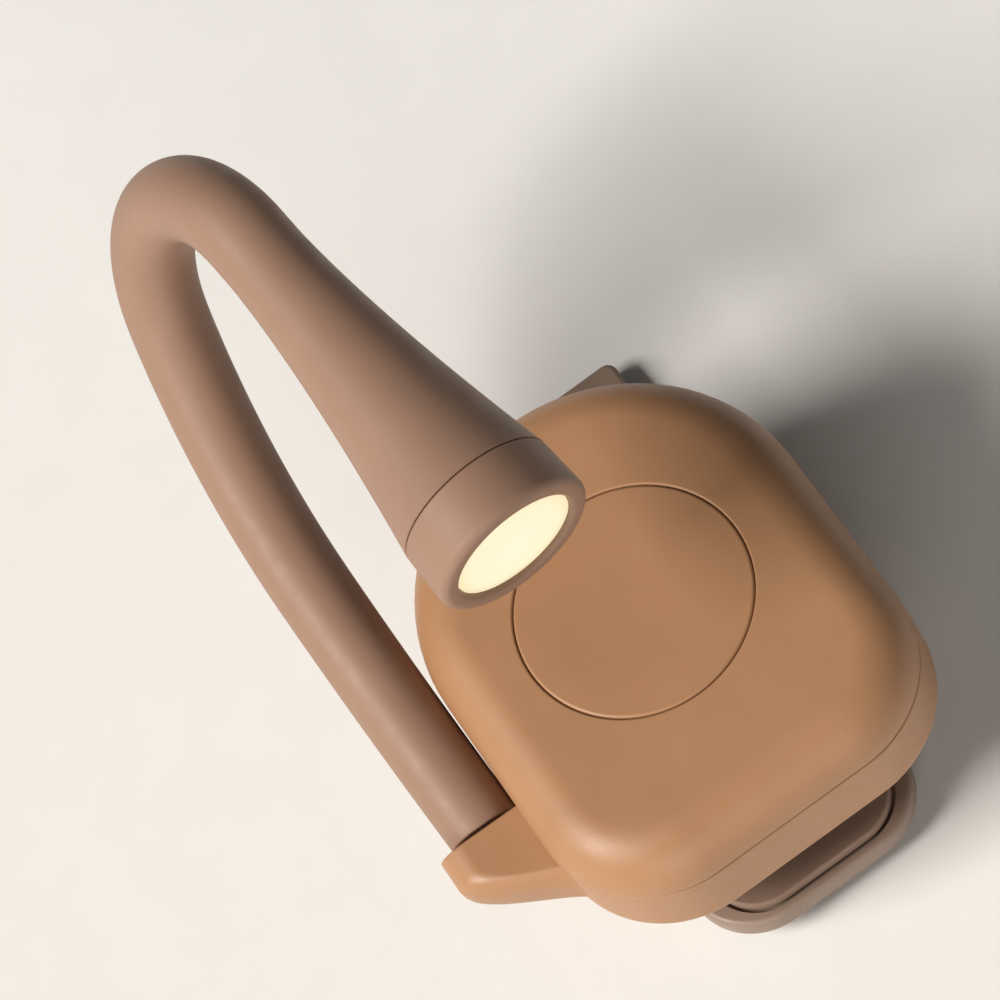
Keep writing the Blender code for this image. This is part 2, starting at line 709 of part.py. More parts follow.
def build_pad(name, grip_z, away):
    """A grip pad whose grooved face lies at grip_z and whose back lies away from it."""
    back_z = grip_z + away * PAD_THICKNESS
    low_z, high_z = sorted((grip_z, back_z))
    pad = part(name, prism_mesh(name, pad_outline(0.0), low_z, high_z), PAD_LOOK)
    boxes = []
    pitch = PAD_LENGTH / (PAD_GROOVES + 1)
    reach = PAD_WIDTH / 2 + OVERRUN
    for number in range(PAD_GROOVES):
        y = (number + 1) * pitch - PAD_LENGTH / 2
        z_pair = sorted((grip_z - away * OVERRUN, grip_z + away * PAD_GROOVE_DEPTH))
        low = (-reach, y - PAD_GROOVE_WIDTH / 2, z_pair[0])
        high = (reach, y + PAD_GROOVE_WIDTH / 2, z_pair[1])
        boxes.append((low, high))
    cut(pad, tool(name + "_grooves", block_mesh(name + "_grooves", *boxes)))
    return pad


def build_hinge_pin():
    reach = EAR_OUTER_X + PIN_END
    start, end = (-reach, HINGE_Y, HINGE_Z), (reach, HINGE_Y, HINGE_Z)
    return part("hinge_pin", rod_mesh("hinge_pin", start, end, PIN_RADIUS), STEEL_LOOK)


def lever_top_z(y):
    """The height of the lever's inner face, which slopes away behind the kink."""
    return LEVER_TOP_Z - max(0.0, y - LEVER_KINK_Y) * math.tan(LEVER_SLOPE)


def build_rear_lever():
    """The rear jaw and thumb lever in one moulding, kinked behind the hinge."""
    outline = rounded_outline(
        LEVER_WIDTH / 2, JAW_TIP_Y, LEVER_TAIL_Y, LEVER_JAW_RADIUS, LEVER_TAIL_RADIUS, CORNER_STEPS,
    )
    mesh = prism_mesh("rear_lever", outline, LEVER_BOTTOM_Z, LEVER_TOP_Z)
    bm = bmesh.new()
    bm.from_mesh(mesh)
    bmesh.ops.bisect_plane(
        bm, geom=bm.verts[:] + bm.edges[:] + bm.faces[:], dist=MERGE_DISTANCE,
        plane_co=(0, LEVER_KINK_Y, 0), plane_no=(0, 1, 0),
    )
    for vertex in bm.verts:
        vertex.co.z += lever_top_z(vertex.co.y) - LEVER_TOP_Z
    bm.to_mesh(mesh)
    bm.free()
    lever = part("rear_lever", mesh, HOUSING_LOOK)
    bevel = lever.modifiers.new("edges", "BEVEL")
    bevel.width = LEVER_EDGE
    bevel.segments = 2
    bevel.limit_method = "ANGLE"
    bevel.angle_limit = SMOOTH_ANGLE
    knuckle_root_z = LEVER_TOP_Z - LEVER_THICKNESS / 2
    for side in (-1, 1):
        low_x, high_x = sorted((side * KNUCKLE_INNER_X, side * KNUCKLE_OUTER_X))
        profile = hinge_profile(KNUCKLE_RADIUS, knuckle_root_z)
        join(lever, tool(f"knuckle_{side + 1}", side_prism_mesh("knuckle", profile, low_x, high_x)))
    for number in range(GRIP_RIBS):
        y = LEVER_TAIL_Y - GRIP_RIB_END - number * GRIP_RIB_PITCH
        z = lever_top_z(y) - LEVER_THICKNESS
        reach = LEVER_WIDTH / 2 - GRIP_RIB_SIDE
        rib = rod_mesh("grip_rib", (-reach, y, z), (reach, y, z), GRIP_RIB_RADIUS, NECK_SIDES // 2)
        join(lever, tool(f"grip_rib_{number}", rib))
    cut(lever, hinge_bore("knuckle_bore"))
    seat = prism_mesh(
        "rear_pad_seat", pad_outline(GAP), LEVER_TOP_Z - PAD_SEAT_DEPTH, LEVER_TOP_Z + OVERRUN,
    )
    cut(lever, tool("rear_pad_seat", seat))
    return lever


def spring_points():
    """One wire: a leg under the housing, the coil round the pin and a leg on the lever."""
    coil_steps = round(COIL_TURNS * COIL_POINTS_PER_TURN)
    leg_end_y = HINGE_Y + SPRING_LEG
    first_x = -COIL_HALF_LENGTH
    points = [Vector((first_x, leg_end_y, UNDERSIDE_Z - GAP - WIRE_RADIUS))]
    for step in range(coil_steps + 1):
        angle = 2 * math.pi * COIL_TURNS * step / coil_steps
        points.append(Vector((
            first_x + COIL_TURNS * COIL_PITCH * step / coil_steps,
            HINGE_Y - COIL_RADIUS * math.sin(angle),
            HINGE_Z + COIL_RADIUS * math.cos(angle),
        )))
    points.append(Vector((COIL_HALF_LENGTH, leg_end_y, lever_top_z(leg_end_y) + GAP + WIRE_RADIUS)))
    return points


def least_self_gap(points):
    """The least clear space between turns of the spring that aren't neighbours on the wire."""
    fine = []
    for start, end in zip(points, points[1:]):
        fine += [start.lerp(end, share / COIL_POINTS_PER_TURN) for share in range(COIL_POINTS_PER_TURN)]
    along = [0.0]
    for start, end in zip(fine, fine[1:]):
        along.append(along[-1] + (end - start).length)
    apart = math.pi * COIL_RADIUS
    least = min(
        (fine[first] - fine[second]).length
        for first in range(len(fine))
        for second in range(first + 1, len(fine))
        if along[second] - along[first] > apart
    )
    return least - 2 * WIRE_RADIUS


def build_torsion_spring():
    points = spring_points()
    gap = least_self_gap(points)
    print(f"torsion spring: least gap to itself {gap / MM:.2f} mm, wanted over {LEAST_COIL_GAP / MM:.2f}")
    return part("torsion_spring", tube_curve("torsion_spring", points, WIRE_RADIUS, 1), SPRING_LOOK)


def crowned(radius, rim_height, crown):
    """Points down a shallow round crown or dish, from its rim to its middle."""
    shares = [step / CROWN_STEPS for step in range(CROWN_STEPS, -1, -1)]
    return [(radius * share, rim_height - crown * (1 - share * share)) for share in shares]


def build_power_key():
    """The round key: a faintly dished face, a soft edge and a flange that holds it in."""
    edge_z = FACE_Z - KEY_EDGE
    flange_radius = KEY_RADIUS + KEY_FLANGE_WIDTH
    dish = crowned(KEY_RADIUS - KEY_RIM_WIDTH, FACE_Z, KEY_DISH)
    edge = arc(KEY_RADIUS - KEY_EDGE, edge_z, KEY_EDGE, math.pi / 2, 0.0, CROWN_STEPS)
    profile = dish[::-1] + edge + [
        (KEY_RADIUS, KEY_FLANGE_TOP_Z),
        (flange_radius, KEY_FLANGE_TOP_Z),
        (flange_radius, KEY_BOTTOM_Z),
        (0.0, KEY_BOTTOM_Z),
    ]
    key = turned("power_key", profile, HOUSING_LOOK)
    key.location = (0, KEY_Y, 0)
    return key


def build_switch_plunger():
    low = (0, KEY_Y, SWITCH_TOP_Z - PLUNGER_ENGAGEMENT)
    high = (0, KEY_Y, KEY_BOTTOM_Z - GAP)
    return part("switch_plunger", rod_mesh("switch_plunger", low, high, PLUNGER_RADIUS), CHIP_LOOK)


def build_tact_switch():
    """The low push switch on the board, open in the middle for its plunger."""
    half = SWITCH_WIDTH / 2
    box = ((-half, KEY_Y - half, SWITCH_BOTTOM_Z), (half, KEY_Y + half, SWITCH_TOP_Z))
    switch = part("tact_switch", block_mesh("tact_switch", box), STEEL_LOOK)
    low = (0, KEY_Y, SWITCH_BOTTOM_Z - OVERRUN)
    high = (0, KEY_Y, SWITCH_TOP_Z + OVERRUN)
    cut(switch, tool("switch_bore", rod_mesh("switch_bore", low, high, PLUNGER_RADIUS + GAP)))
    return switch


def build_main_board():
    """The circuit board, shaped like the cavity, with a hole round each post."""
    outline = pebble_outline(HOUSING_WALL + GAP)
    board = part("main_board", prism_mesh("main_board", outline, BOARD_BOTTOM_Z, BOARD_TOP_Z), BOARD_LOOK)
    for number, (x, y) in enumerate(POSTS):
        low = (x, y, BOARD_BOTTOM_Z - OVERRUN)
        high = (x, y, BOARD_TOP_Z + OVERRUN)
        hole = rod_mesh("board_hole", low, high, POST_RADIUS + GAP)
        cut(board, tool(f"board_hole_{number}", hole))
    return board


def build_board_part(name, x, width, length):
    """A chip or coil on the jaw end of the board."""
    low_z = BOARD_TOP_Z + GAP
    box = ((x - width / 2, -length, low_z), (x + width / 2, 0.0, low_z + CHIP_HEIGHT))
    return part(name, block_mesh(name, box), CHIP_LOOK)


def build_battery_cell():
    """A flat lithium pouch cell that fills the tray under the board."""
    half_width = HALF_WIDTH - HOUSING_WALL - BATTERY_SIDE_ROOM
    box = (
        (-half_width, BATTERY_LOW_Y, BATTERY_BOTTOM_Z), (half_width, BATTERY_HIGH_Y, BATTERY_TOP_Z),
    )
    cell = part("battery_cell", block_mesh("battery_cell", box), CELL_LOOK)
    bevel = cell.modifiers.new("edges", "BEVEL")
    bevel.width = BATTERY_EDGE
    bevel.segments = 2
    return cell


def socket_outline(clearance):
    """The charging socket's round-ended section, as (x, z) points."""
    half_width = SOCKET_WIDTH / 2
    radius = SOCKET_HEIGHT / 2
    return rounded_outline(
        half_width, SOCKET_Z - radius, SOCKET_Z + radius, radius, radius, CORNER_STEPS // 2, -clearance,
    )


def build_charging_socket():
    """The drawn steel shell of the charging socket and the contact tongue inside it."""
    outer = end_prism_mesh("charging_socket", socket_outline(0.0), SOCKET_BACK_Y, SOCKET_FRONT_Y)
    socket = part("charging_socket", outer, STEEL_LOOK)
    depth_y = SOCKET_BACK_Y + SOCKET_BACK_WALL
    hollow = end_prism_mesh("socket_hollow", socket_outline(-SOCKET_WALL), depth_y, SOCKET_FRONT_Y + OVERRUN)
    cut(socket, tool("socket_hollow", hollow))
    half_width = TONGUE_PLATE_WIDTH / 2
    half_height = TONGUE_PLATE_THICKNESS / 2
    tongue = block_mesh("contact_tongue", (
        (-half_width, SOCKET_BACK_Y + SOCKET_WALL, SOCKET_Z - half_height),
        (half_width, SOCKET_FRONT_Y - SOCKET_SETBACK, SOCKET_Z + half_height),
    ))
    join(socket, tool("contact_tongue", tongue))
    return socket


def build_housing_screws():
    """Three pan-head screws that pull the tray up against the cover's posts."""
    seat = SCREW_SEAT_Z - GAP
    profile = [
        (0.0, SCREW_SEAT_Z + SCREW_BITE),
        (SCREW_RADIUS, SCREW_SEAT_Z + SCREW_BITE),
        (SCREW_RADIUS, seat),
        (SCREW_HEAD_RADIUS, seat),
        (SCREW_HEAD_RADIUS, seat - SCREW_HEAD_THICKNESS / 2),
        (SCREW_HEAD_RADIUS - SCREW_HEAD_THICKNESS / 2, seat - SCREW_HEAD_THICKNESS),
        (0.0, seat - SCREW_HEAD_THICKNESS),
    ]
    for number, (x, y) in enumerate(POSTS, start=1):
        screw = turned(f"housing_screw_{number}", profile, STEEL_LOOK, SMALL_TURN_STEPS)
        screw.location = (x, y, 0)


def neck_plane(distance):
    """(along, across, turn) in the neck's plane at a distance from the boss's mouth."""
    along, across, turn = min(distance, LEG_LENGTH), 0.0, 0.0
    left = max(0.0, distance - LEG_LENGTH)
    for radius, full_turn in ((SWEEP_RADIUS, SWEEP_TURN), (LOOP_RADIUS, LOOP_TURN)):
        step = min(left / radius, full_turn)
        along += radius * (math.sin(turn + step) - math.sin(turn))
        across += radius * (math.cos(turn) - math.cos(turn + step))
        turn += step
        left = max(0.0, left - radius * step)
    return along, across, turn


def neck_place(distance):
    """The point of the neck's centre line at a distance from the boss's mouth."""
    along, across, _ = neck_plane(distance)
    return NECK_ROOT + LEG_DIRECTION * along + CURL_DIRECTION * across


def neck_heading(distance):
    """The direction of the neck's centre line at a distance from the boss's mouth."""
    turn = neck_plane(distance)[2]
    return LEG_DIRECTION * math.cos(turn) + CURL_DIRECTION * math.sin(turn)


def neck_pivot(number):
    """The distance of a neck pivot from the boss's mouth."""
    return FIRST_PIVOT + LINK_LENGTH * (number - 1)


def middle_distances(start, end):
    """Where rings stand between a link's foot and its ball: none on the leg, even steps on bends."""
    bends = [LEG_LENGTH + SWEEP_LENGTH * step / SWEEP_STEPS for step in range(SWEEP_STEPS)]
    bends += [LOOP_START + LOOP_LENGTH * step / LOOP_STEPS for step in range(LOOP_STEPS)]
    room = LOOP_LENGTH / LOOP_STEPS / 2
    return [distance for distance in bends if core_foot(start) + room < distance < end - room]


def core_foot(start):
    """Where a sleeve's core wire begins, a little beyond the bottom of its cup."""
    return start + CUP_RADIUS + CORE_FOOT_SETBACK


def cup_profile():
    """(axial, radius) pairs up a ball cup's wall, from the bore nearly to the rim."""
    deep = math.asin(BORE_RADIUS / CUP_RADIUS)
    rim = math.asin(NECK_RADIUS / CUP_RADIUS)
    angles = [deep + (rim - deep) * step / CUP_STEPS for step in range(CUP_STEPS)]
    return [(CUP_RADIUS * math.cos(angle), CUP_RADIUS * math.sin(angle)) for angle in angles]


def dome_profile():
    """(axial, radius) pairs over a ball end, from just past its widest ring to the bore."""
    last = math.acos(BORE_RADIUS / NECK_RADIUS)
    angles = [last * step / CUP_STEPS for step in range(1, CUP_STEPS + 1)]
    return [(NECK_RADIUS * math.sin(angle), NECK_RADIUS * math.cos(angle)) for angle in angles]


def sleeve_rings(start, end):
    """The rings of one link: outer side, ball end, bore and cup."""
    start_place, start_heading = neck_place(start), neck_heading(start)
    end_place, end_heading = neck_place(end), neck_heading(end)
    middle = middle_distances(start, end)
    rings = [(start_place + start_heading * CUP_RIM, start_heading, NECK_RADIUS)]
    for distance in [start + CUP_RADIUS] + middle + [end]:
        rings.append((neck_place(distance), neck_heading(distance), NECK_RADIUS))
    for axial, radius in dome_profile():
        rings.append((end_place + end_heading * axial, end_heading, radius))
    for distance in [end] + middle[::-1] + [core_foot(start)]:
        rings.append((neck_place(distance), neck_heading(distance), BORE_RADIUS))
    for axial, radius in cup_profile():
        rings.append((start_place + start_heading * axial, start_heading, radius))
    return rings


def ring_loft_mesh(name, rings, origin):
    """A closed skin through rings that follow one another round a hollow section."""
    bm = bmesh.new()
    loops = []
    for centre, heading, radius in rings:
        across = heading.cross(LOOP_NORMAL)
        loop = []
        for side in range(NECK_SIDES):
            angle = 2 * math.pi * side / NECK_SIDES
            out = LOOP_NORMAL * math.cos(angle) + across * math.sin(angle)
            loop.append(bm.verts.new(centre - origin + out * radius))
        loops.append(loop)
    for first, second in zip(loops, loops[1:] + loops[:1]):
        for side in range(NECK_SIDES):
            following = (side + 1) % NECK_SIDES
            bm.faces.new((first[side], first[following], second[following], second[side]))
    return mesh_from_bmesh(name, bm)


def core_curve(name, foot, start, end, origin):
    """The bendable wire inside one sleeve length, ending just inside the ball's tip."""
    middle = middle_distances(start, end)
    points = [neck_place(distance) - origin for distance in [foot] + middle + [end]]
    points.append(neck_place(end) + neck_heading(end) * (DOME_TIP - CORE_TIP_SETBACK) - origin)
    return tube_curve(name, points, CORE_RADIUS, 2)


def build_neck_collar():
    """The neck's fixed foot: a spigot in the boss and the first ball of the neck."""
    foot = neck_place(GAP)
    tip = neck_place(-SPIGOT_LENGTH)
    ball = neck_place(FIRST_PIVOT)
    bore_end = neck_place(GAP + SLEEVE_WALL)
    stations = [(foot, NECK_RADIUS), (ball, NECK_RADIUS)]
    stations += [(ball + LEG_DIRECTION * axial, radius) for axial, radius in dome_profile()]
    stations += [
        (bore_end, BORE_RADIUS), (bore_end, LEAD_HOLE_RADIUS), (tip, LEAD_HOLE_RADIUS),
        (tip, SPIGOT_RADIUS), (foot, SPIGOT_RADIUS),
    ]
    rings = [(centre, LEG_DIRECTION, radius) for centre, radius in stations]
    mesh = ring_loft_mesh("neck_collar", rings, Vector((0, 0, 0)))
    return part("neck_collar", mesh, SILICONE_LOOK)


def build_collar_core():
    foot = GAP + SLEEVE_WALL + GAP
    curve = core_curve("collar_core", foot, 0.0, FIRST_PIVOT, Vector((0, 0, 0)))
    return part("collar_core", curve, CORE_LOOK)


def build_neck_link(number):
    """One length of neck on its own pivot: sleeve outside, core wire inside."""
    start, end = neck_pivot(number), neck_pivot(number + 1)
    origin = neck_place(start)
    frame = joint_frame(f"neck_pivot_{number}", origin)
    rings = sleeve_rings(start, end)
    sleeve_name = f"neck_sleeve_{number}"
    sleeve = part(sleeve_name, ring_loft_mesh(sleeve_name, rings, origin), SILICONE_LOOK)
    core_name = f"neck_core_{number}"
    core = part(core_name, core_curve(core_name, core_foot(start), start, end, origin), CORE_LOOK)
    sleeve.parent = frame
    core.parent = frame


def bell_radius(back):
    """The bell's outer radius at a distance behind the light's front."""
    flare = max(0.0, BELL_LENGTH - back) / (BELL_LENGTH - SEAM)
    return NECK_RADIUS + (BELL_RADIUS - NECK_RADIUS) * flare ** BELL_CURVE


def bell_points(first, last, inset):
    """Points of the bell's curve, moved inwards by an inset."""
    return [
        (bell_radius(back) - inset, back)
        for back in (first + (last - first) * step / BELL_STEPS for step in range(BELL_STEPS + 1))
    ]


def build_head_sleeve():
    """The bell: a cup for the neck's last ball, a long flare and a thin mouth."""
    pocket_radius = CORE_RADIUS + GAP + FERRULE_WALL + GAP
    pocket_back = POCKET_FRONT + FERRULE_LENGTH + GAP
    outer = [(NECK_RADIUS, HEAD_LENGTH - CUP_RIM)]
    outer += bell_points(BELL_LENGTH - CUP_RIM, SEAM, 0.0)
    inner = bell_points(SEAM, POCKET_FRONT, SLEEVE_WALL)
    bore = [(pocket_radius, POCKET_FRONT), (pocket_radius, pocket_back), (BORE_RADIUS, pocket_back)]
    cup = [(radius, HEAD_LENGTH - axial) for axial, radius in cup_profile()]
    return turned("head_sleeve", outer + inner + bore + cup, SILICONE_LOOK, closed=True)


def build_head_cup():
    """The rigid lamp cup inside the bell, with a shoulder for the LED board."""
    inset = SLEEVE_WALL + GAP
    shoulder = led_board_back() + GAP
    neck_bore = LED_BOARD_RADIUS - CUP_WALL
    back_wall = CUP_BACK - CUP_WALL
    outer = bell_points(CUP_BACK, SEAM, inset)
    outer.append((BEZEL_BORE - GAP, CUP_FRONT))
    inner = [
        (bell_radius(SEAM) - inset - CUP_WALL, CUP_FRONT),
        (bell_radius(SEAM) - inset - CUP_WALL, SEAM),
        (LED_BOARD_RADIUS + GAP, led_board_front() - GAP),
        (LED_BOARD_RADIUS + GAP, shoulder),
        (neck_bore - CUP_WALL, shoulder),
        (CORE_RADIUS + GAP, back_wall),
        (CORE_RADIUS + GAP, CUP_BACK),
    ]
    return turned("head_cup", outer + inner, CHIP_LOOK, closed=True)


def led_board_front():
    return CUP_FRONT + GAP + REFLECTOR_LENGTH + GAP


def led_board_back():
    return led_board_front() + LED_BOARD_THICKNESS


def build_reflector():
    """The polished cone between the LEDs and the lens."""
    front = CUP_FRONT + GAP
    back = front + REFLECTOR_LENGTH
    front_radius = bell_radius(SEAM) - SLEEVE_WALL - GAP - CUP_WALL - GAP
    throat = REFLECTOR_THROAT + REFLECTOR_WALL
    profile = [
        (throat, back), (front_radius, SEAM - GAP), (front_radius, front),
        (front_radius - REFLECTOR_WALL, front), (REFLECTOR_THROAT, back),
    ]
    return turned("reflector", profile, REFLECTOR_LOOK, closed=True)


def build_led_board():
    profile = [
        (0.0, led_board_back()), (LED_BOARD_RADIUS, led_board_back()),
        (LED_BOARD_RADIUS, led_board_front()), (0.0, led_board_front()),
    ]
    return turned("led_board", profile, BOARD_LOOK)


def build_led(name, side, led_look):
    """One LED, beside the head's axis and just in front of its board."""
    high = led_board_front() - GAP
    centre = side * LED_SPACING / 2
    low_corner = (centre - LED_WIDTH / 2, -LED_LENGTH / 2, high - LED_HEIGHT)
    high_corner = (centre + LED_WIDTH / 2, LED_LENGTH / 2, high)
    return part(name, block_mesh(name, (low_corner, high_corner)), led_look)


def build_lens():
    """A thick crowned lens held behind the bezel's lip by its flange."""
    flange_radius = BEZEL_BORE - GAP
    flange_front = BEZEL_LIP + GAP
    flange_back = flange_front + LENS_FLANGE
    boss_radius = LENS_APERTURE - GAP
    profile = [
        (0.0, flange_back), (flange_radius, flange_back), (flange_radius, flange_front),
        (boss_radius, flange_front),
    ]
    return turned("lens", profile + crowned(boss_radius, LENS_SETBACK, LENS_CROWN), LENS_LOOK)


def build_bezel_ring():
    """The ring on the bell's mouth, with a soft front edge and a lip over the lens."""
    edge = arc(BEZEL_RADIUS - BEZEL_EDGE, BEZEL_EDGE, BEZEL_EDGE, 0.0, -math.pi / 2, CROWN_STEPS)
    inside = [
        (LENS_APERTURE + LENS_CHAMFER, 0.0), (LENS_APERTURE, LENS_CHAMFER),
        (LENS_APERTURE, BEZEL_LIP), (BEZEL_BORE, BEZEL_LIP), (BEZEL_BORE, BEZEL_LENGTH),
    ]
    profile = [(BELL_RADIUS, BEZEL_LENGTH)] + edge + inside
    return turned("bezel_ring", profile, SILICONE_LOOK, closed=True)


def build_head_ferrule():
    """The crimped tube that joins the core wire to the lamp cup."""
    front = FERRULE_FRONT
    back = front + FERRULE_LENGTH - GAP
    outer, inner = BORE_RADIUS + FERRULE_WALL, BORE_RADIUS
    profile = [(outer, back), (outer, front), (inner, front), (inner, back)]
    return turned("head_ferrule", profile, STEEL_LOOK, SMALL_TURN_STEPS, closed=True)


def build_head_core():
    """The end of the core wire, from the neck's last ball into the ferrule."""
    low = (0, 0, FERRULE_FRONT + GAP)
    high = (0, 0, HEAD_LENGTH - CUP_RADIUS)
    return part("head_core", rod_mesh("head_core", low, high, CORE_RADIUS, NECK_SIDES // 2), CORE_LOOK)


def build_head():
    """The head's pieces, which share the axis of the neck's end."""
    back = -neck_heading(NECK_LENGTH)
    turn = back.to_track_quat("Z", "Y")
    frame = joint_frame("head_pivot", neck_place(NECK_LENGTH), turn)
    pieces = (
        build_head_sleeve(), build_head_cup(), build_head_ferrule(), build_head_core(),
        build_led_board(), build_led("led_warm", -1, WARM_LOOK), build_led("led_cool", 1, COOL_LOOK),
        build_reflector(), build_lens(), build_bezel_ring(),
    )
    for piece in pieces:
        piece.parent = frame
        piece.location = (0, 0, -HEAD_LENGTH)


def build():
    build_front_shell()
    build_base_shell()
    build_pad("front_jaw_pad", 0.0, 1)
    build_hinge_pin()
    build_torsion_spring()
    build_battery_cell()
    build_main_board()
    build_board_part("charge_chip", -PARTS_SPACING, CHIP_WIDTH, CHIP_LENGTH)
    build_board_part("driver_coil", PARTS_SPACING, COIL_WIDTH, COIL_WIDTH)
    build_tact_switch()
    build_charging_socket()
    build_housing_screws()
    build_neck_collar()
    build_collar_core()

    key_slide = joint_frame("key_slide", Vector((0, KEY_Y, FACE_Z)))
    carry(key_slide, build_power_key())
    carry(key_slide, build_switch_plunger())

    lever_hinge = joint_frame("lever_hinge", Vector((0, HINGE_Y, HINGE_Z)))
    carry(lever_hinge, build_rear_lever())
    carry(lever_hinge, build_pad("rear_jaw_pad", -GRIP_OPENING, -1))

    for number in range(1, NECK_LINKS + 1):
        build_neck_link(number)
    build_head()


build()
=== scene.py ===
"""Looks of the clip-on reading light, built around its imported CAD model.

The frame is the CAD's: the page would lie in the XY plane under the housing, +Y points to the
handle and +Z out of the page.  Sizes are in metres and repeat the named sizes of the CAD source.
Some depart from it a little: the head's radii and the neck's root and taper follow the photograph,
and the pads' corners at the jaw's tip follow the lever's.
"""

import math

import bmesh
import bpy
from mathutils import Matrix, Vector


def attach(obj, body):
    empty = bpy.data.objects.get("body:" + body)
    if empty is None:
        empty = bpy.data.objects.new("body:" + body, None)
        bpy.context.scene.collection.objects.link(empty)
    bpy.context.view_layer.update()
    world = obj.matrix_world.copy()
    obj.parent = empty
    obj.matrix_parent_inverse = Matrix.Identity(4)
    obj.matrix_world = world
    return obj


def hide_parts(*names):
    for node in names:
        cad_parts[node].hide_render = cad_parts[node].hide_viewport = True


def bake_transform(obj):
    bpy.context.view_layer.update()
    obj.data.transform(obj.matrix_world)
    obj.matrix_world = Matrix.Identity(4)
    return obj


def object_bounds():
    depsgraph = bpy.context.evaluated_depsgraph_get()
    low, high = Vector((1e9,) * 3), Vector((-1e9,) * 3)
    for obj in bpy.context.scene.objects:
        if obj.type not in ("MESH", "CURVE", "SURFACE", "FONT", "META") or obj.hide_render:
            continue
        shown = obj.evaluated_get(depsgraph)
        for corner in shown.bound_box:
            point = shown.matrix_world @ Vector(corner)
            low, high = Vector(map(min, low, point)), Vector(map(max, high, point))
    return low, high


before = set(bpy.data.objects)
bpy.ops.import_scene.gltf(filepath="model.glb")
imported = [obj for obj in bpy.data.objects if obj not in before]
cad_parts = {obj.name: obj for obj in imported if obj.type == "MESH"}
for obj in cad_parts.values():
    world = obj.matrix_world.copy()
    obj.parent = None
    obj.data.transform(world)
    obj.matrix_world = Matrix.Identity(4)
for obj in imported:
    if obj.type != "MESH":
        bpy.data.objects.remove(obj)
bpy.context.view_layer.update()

MM = 0.001
GAP = 0.3 * MM
OVERRUN = 2.0 * MM
MERGE_DISTANCE = 0.001 * MM
SMOOTH_ANGLE = math.radians(32)

# Fineness of the round forms
ARC_STEPS = 20
SIDE_PITCH = 1.2 * MM
ROUND_STEPS = 6
LIP_STEPS = 3
RIM_STEPS = 4
SHOULDER_STEPS = 14
LOBE_STEPS = 24
LUG_STEPS = 8
SLOT_STEPS = 12
DISH_STEPS = 12
BEZEL_STEPS = 8
TURN_STEPS = 96
SMALL_TURN_STEPS = 40
SOFT_SEGMENTS = 2

# Housing
HALF_WIDTH = 17.2 * MM
JAW_TIP_Y = -8.0 * MM
HANDLE_END_Y = 35.0 * MM
JAW_CORNER_RADIUS = 10.0 * MM
SHOULDER_RADIUS = 4.5 * MM
UNDERSIDE_RADIUS = 1.4 * MM
WALL = 1.6 * MM
UNDERSIDE_Z = 1.0 * MM
FLOOR_Z = 3.0 * MM
PARTING_Z = 8.2 * MM
CEILING_Z = 11.4 * MM
FACE_Z = 13.0 * MM
FACE_SHARES = (0.25, 0.5, 0.75)
LIP_ROUND = 0.2 * MM
PARTING_LINE = 0.15 * MM
TONGUE_HEIGHT = 1.0 * MM
TONGUE_FOOT = LIP_ROUND * 1.5
TONGUE_INSET = 0.9 * MM

# Press key
KEY_Y = 13.5 * MM
KEY_RADIUS = 10.0 * MM
KEY_ROUND = 0.25 * MM
KEY_DISH = 0.25 * MM
KEY_RIM_WIDTH = 1.2 * MM
KEY_FLANGE_RADIUS = 11.3 * MM
KEY_FLANGE_TOP_Z = 11.1 * MM
KEY_BOTTOM_Z = 10.3 * MM
KEY_LINE = 0.07 * MM
KEY_HOLE_ROUND = 0.2 * MM

# Hinge, lever and spring; KINK_EASE, per millimetre, is how sharply the lever bends at its kink
HINGE_Y = 14.5 * MM
HINGE_Z = -2.5 * MM
PIN_RADIUS = 1.25 * MM
PIN_REACH = 9.9 * MM
PIN_CHAMFER = PIN_RADIUS / 5
EAR_RADIUS = 2.6 * MM
EAR_X = (7.0 * MM, 9.5 * MM)
KNUCKLE_RADIUS = 2.4 * MM
KNUCKLE_X = (4.5 * MM, 6.7 * MM)
LOBE_ROUND = 0.25 * MM
LEVER_HALF_WIDTH = 10.5 * MM
LEVER_TOP_Z = -6.0 * MM
LEVER_BOTTOM_Z = -8.4 * MM
LEVER_TAIL_Y = 44.2 * MM
LEVER_JAW_RADIUS = 6.0 * MM
LEVER_TAIL_RADIUS = 1.0 * MM
LEVER_ROUND = 0.5 * MM
LEVER_KINK_Y = 20.0 * MM
LEVER_SLOPE = math.radians(4)
KINK_EASE = 2
KINK_CUTS = 6
KINK_CUTS_PER_MM = 3
RIB_COUNT = 4
RIB_PITCH = 2.4 * MM
RIB_RADIUS = 0.6 * MM
RIB_REACH = 7.0 * MM
RIB_END = 3.0 * MM
WIRE_RADIUS = 0.4 * MM
WIRE_EDGE = WIRE_RADIUS / 4
WIRE_SIDES = 16
COIL_RADIUS = 2.1 * MM
COIL_HALF_LENGTH = 3.6 * MM
COIL_TURNS = 4.5
COIL_STEPS = 200
SPRING_LEG = 11.0 * MM

# Grip pads
PAD_HALF_WIDTH = 8.5 * MM
PAD_HALF_LENGTH = 7.0 * MM
PAD_THICKNESS = 1.2 * MM
PAD_TIP_RADIUS = 4.5 * MM
PAD_CORNER_RADIUS = 2.0 * MM
PAD_ROUND = 0.25 * MM
PAD_SEAT_DEPTH = 0.5 * MM
PAD_GROOVES = 4
GROOVE_WIDTH = 0.6 * MM
GROOVE_DEPTH = 0.4 * MM
FRONT_GRIP_Z = 0.0
REAR_GRIP_Z = -5.0 * MM

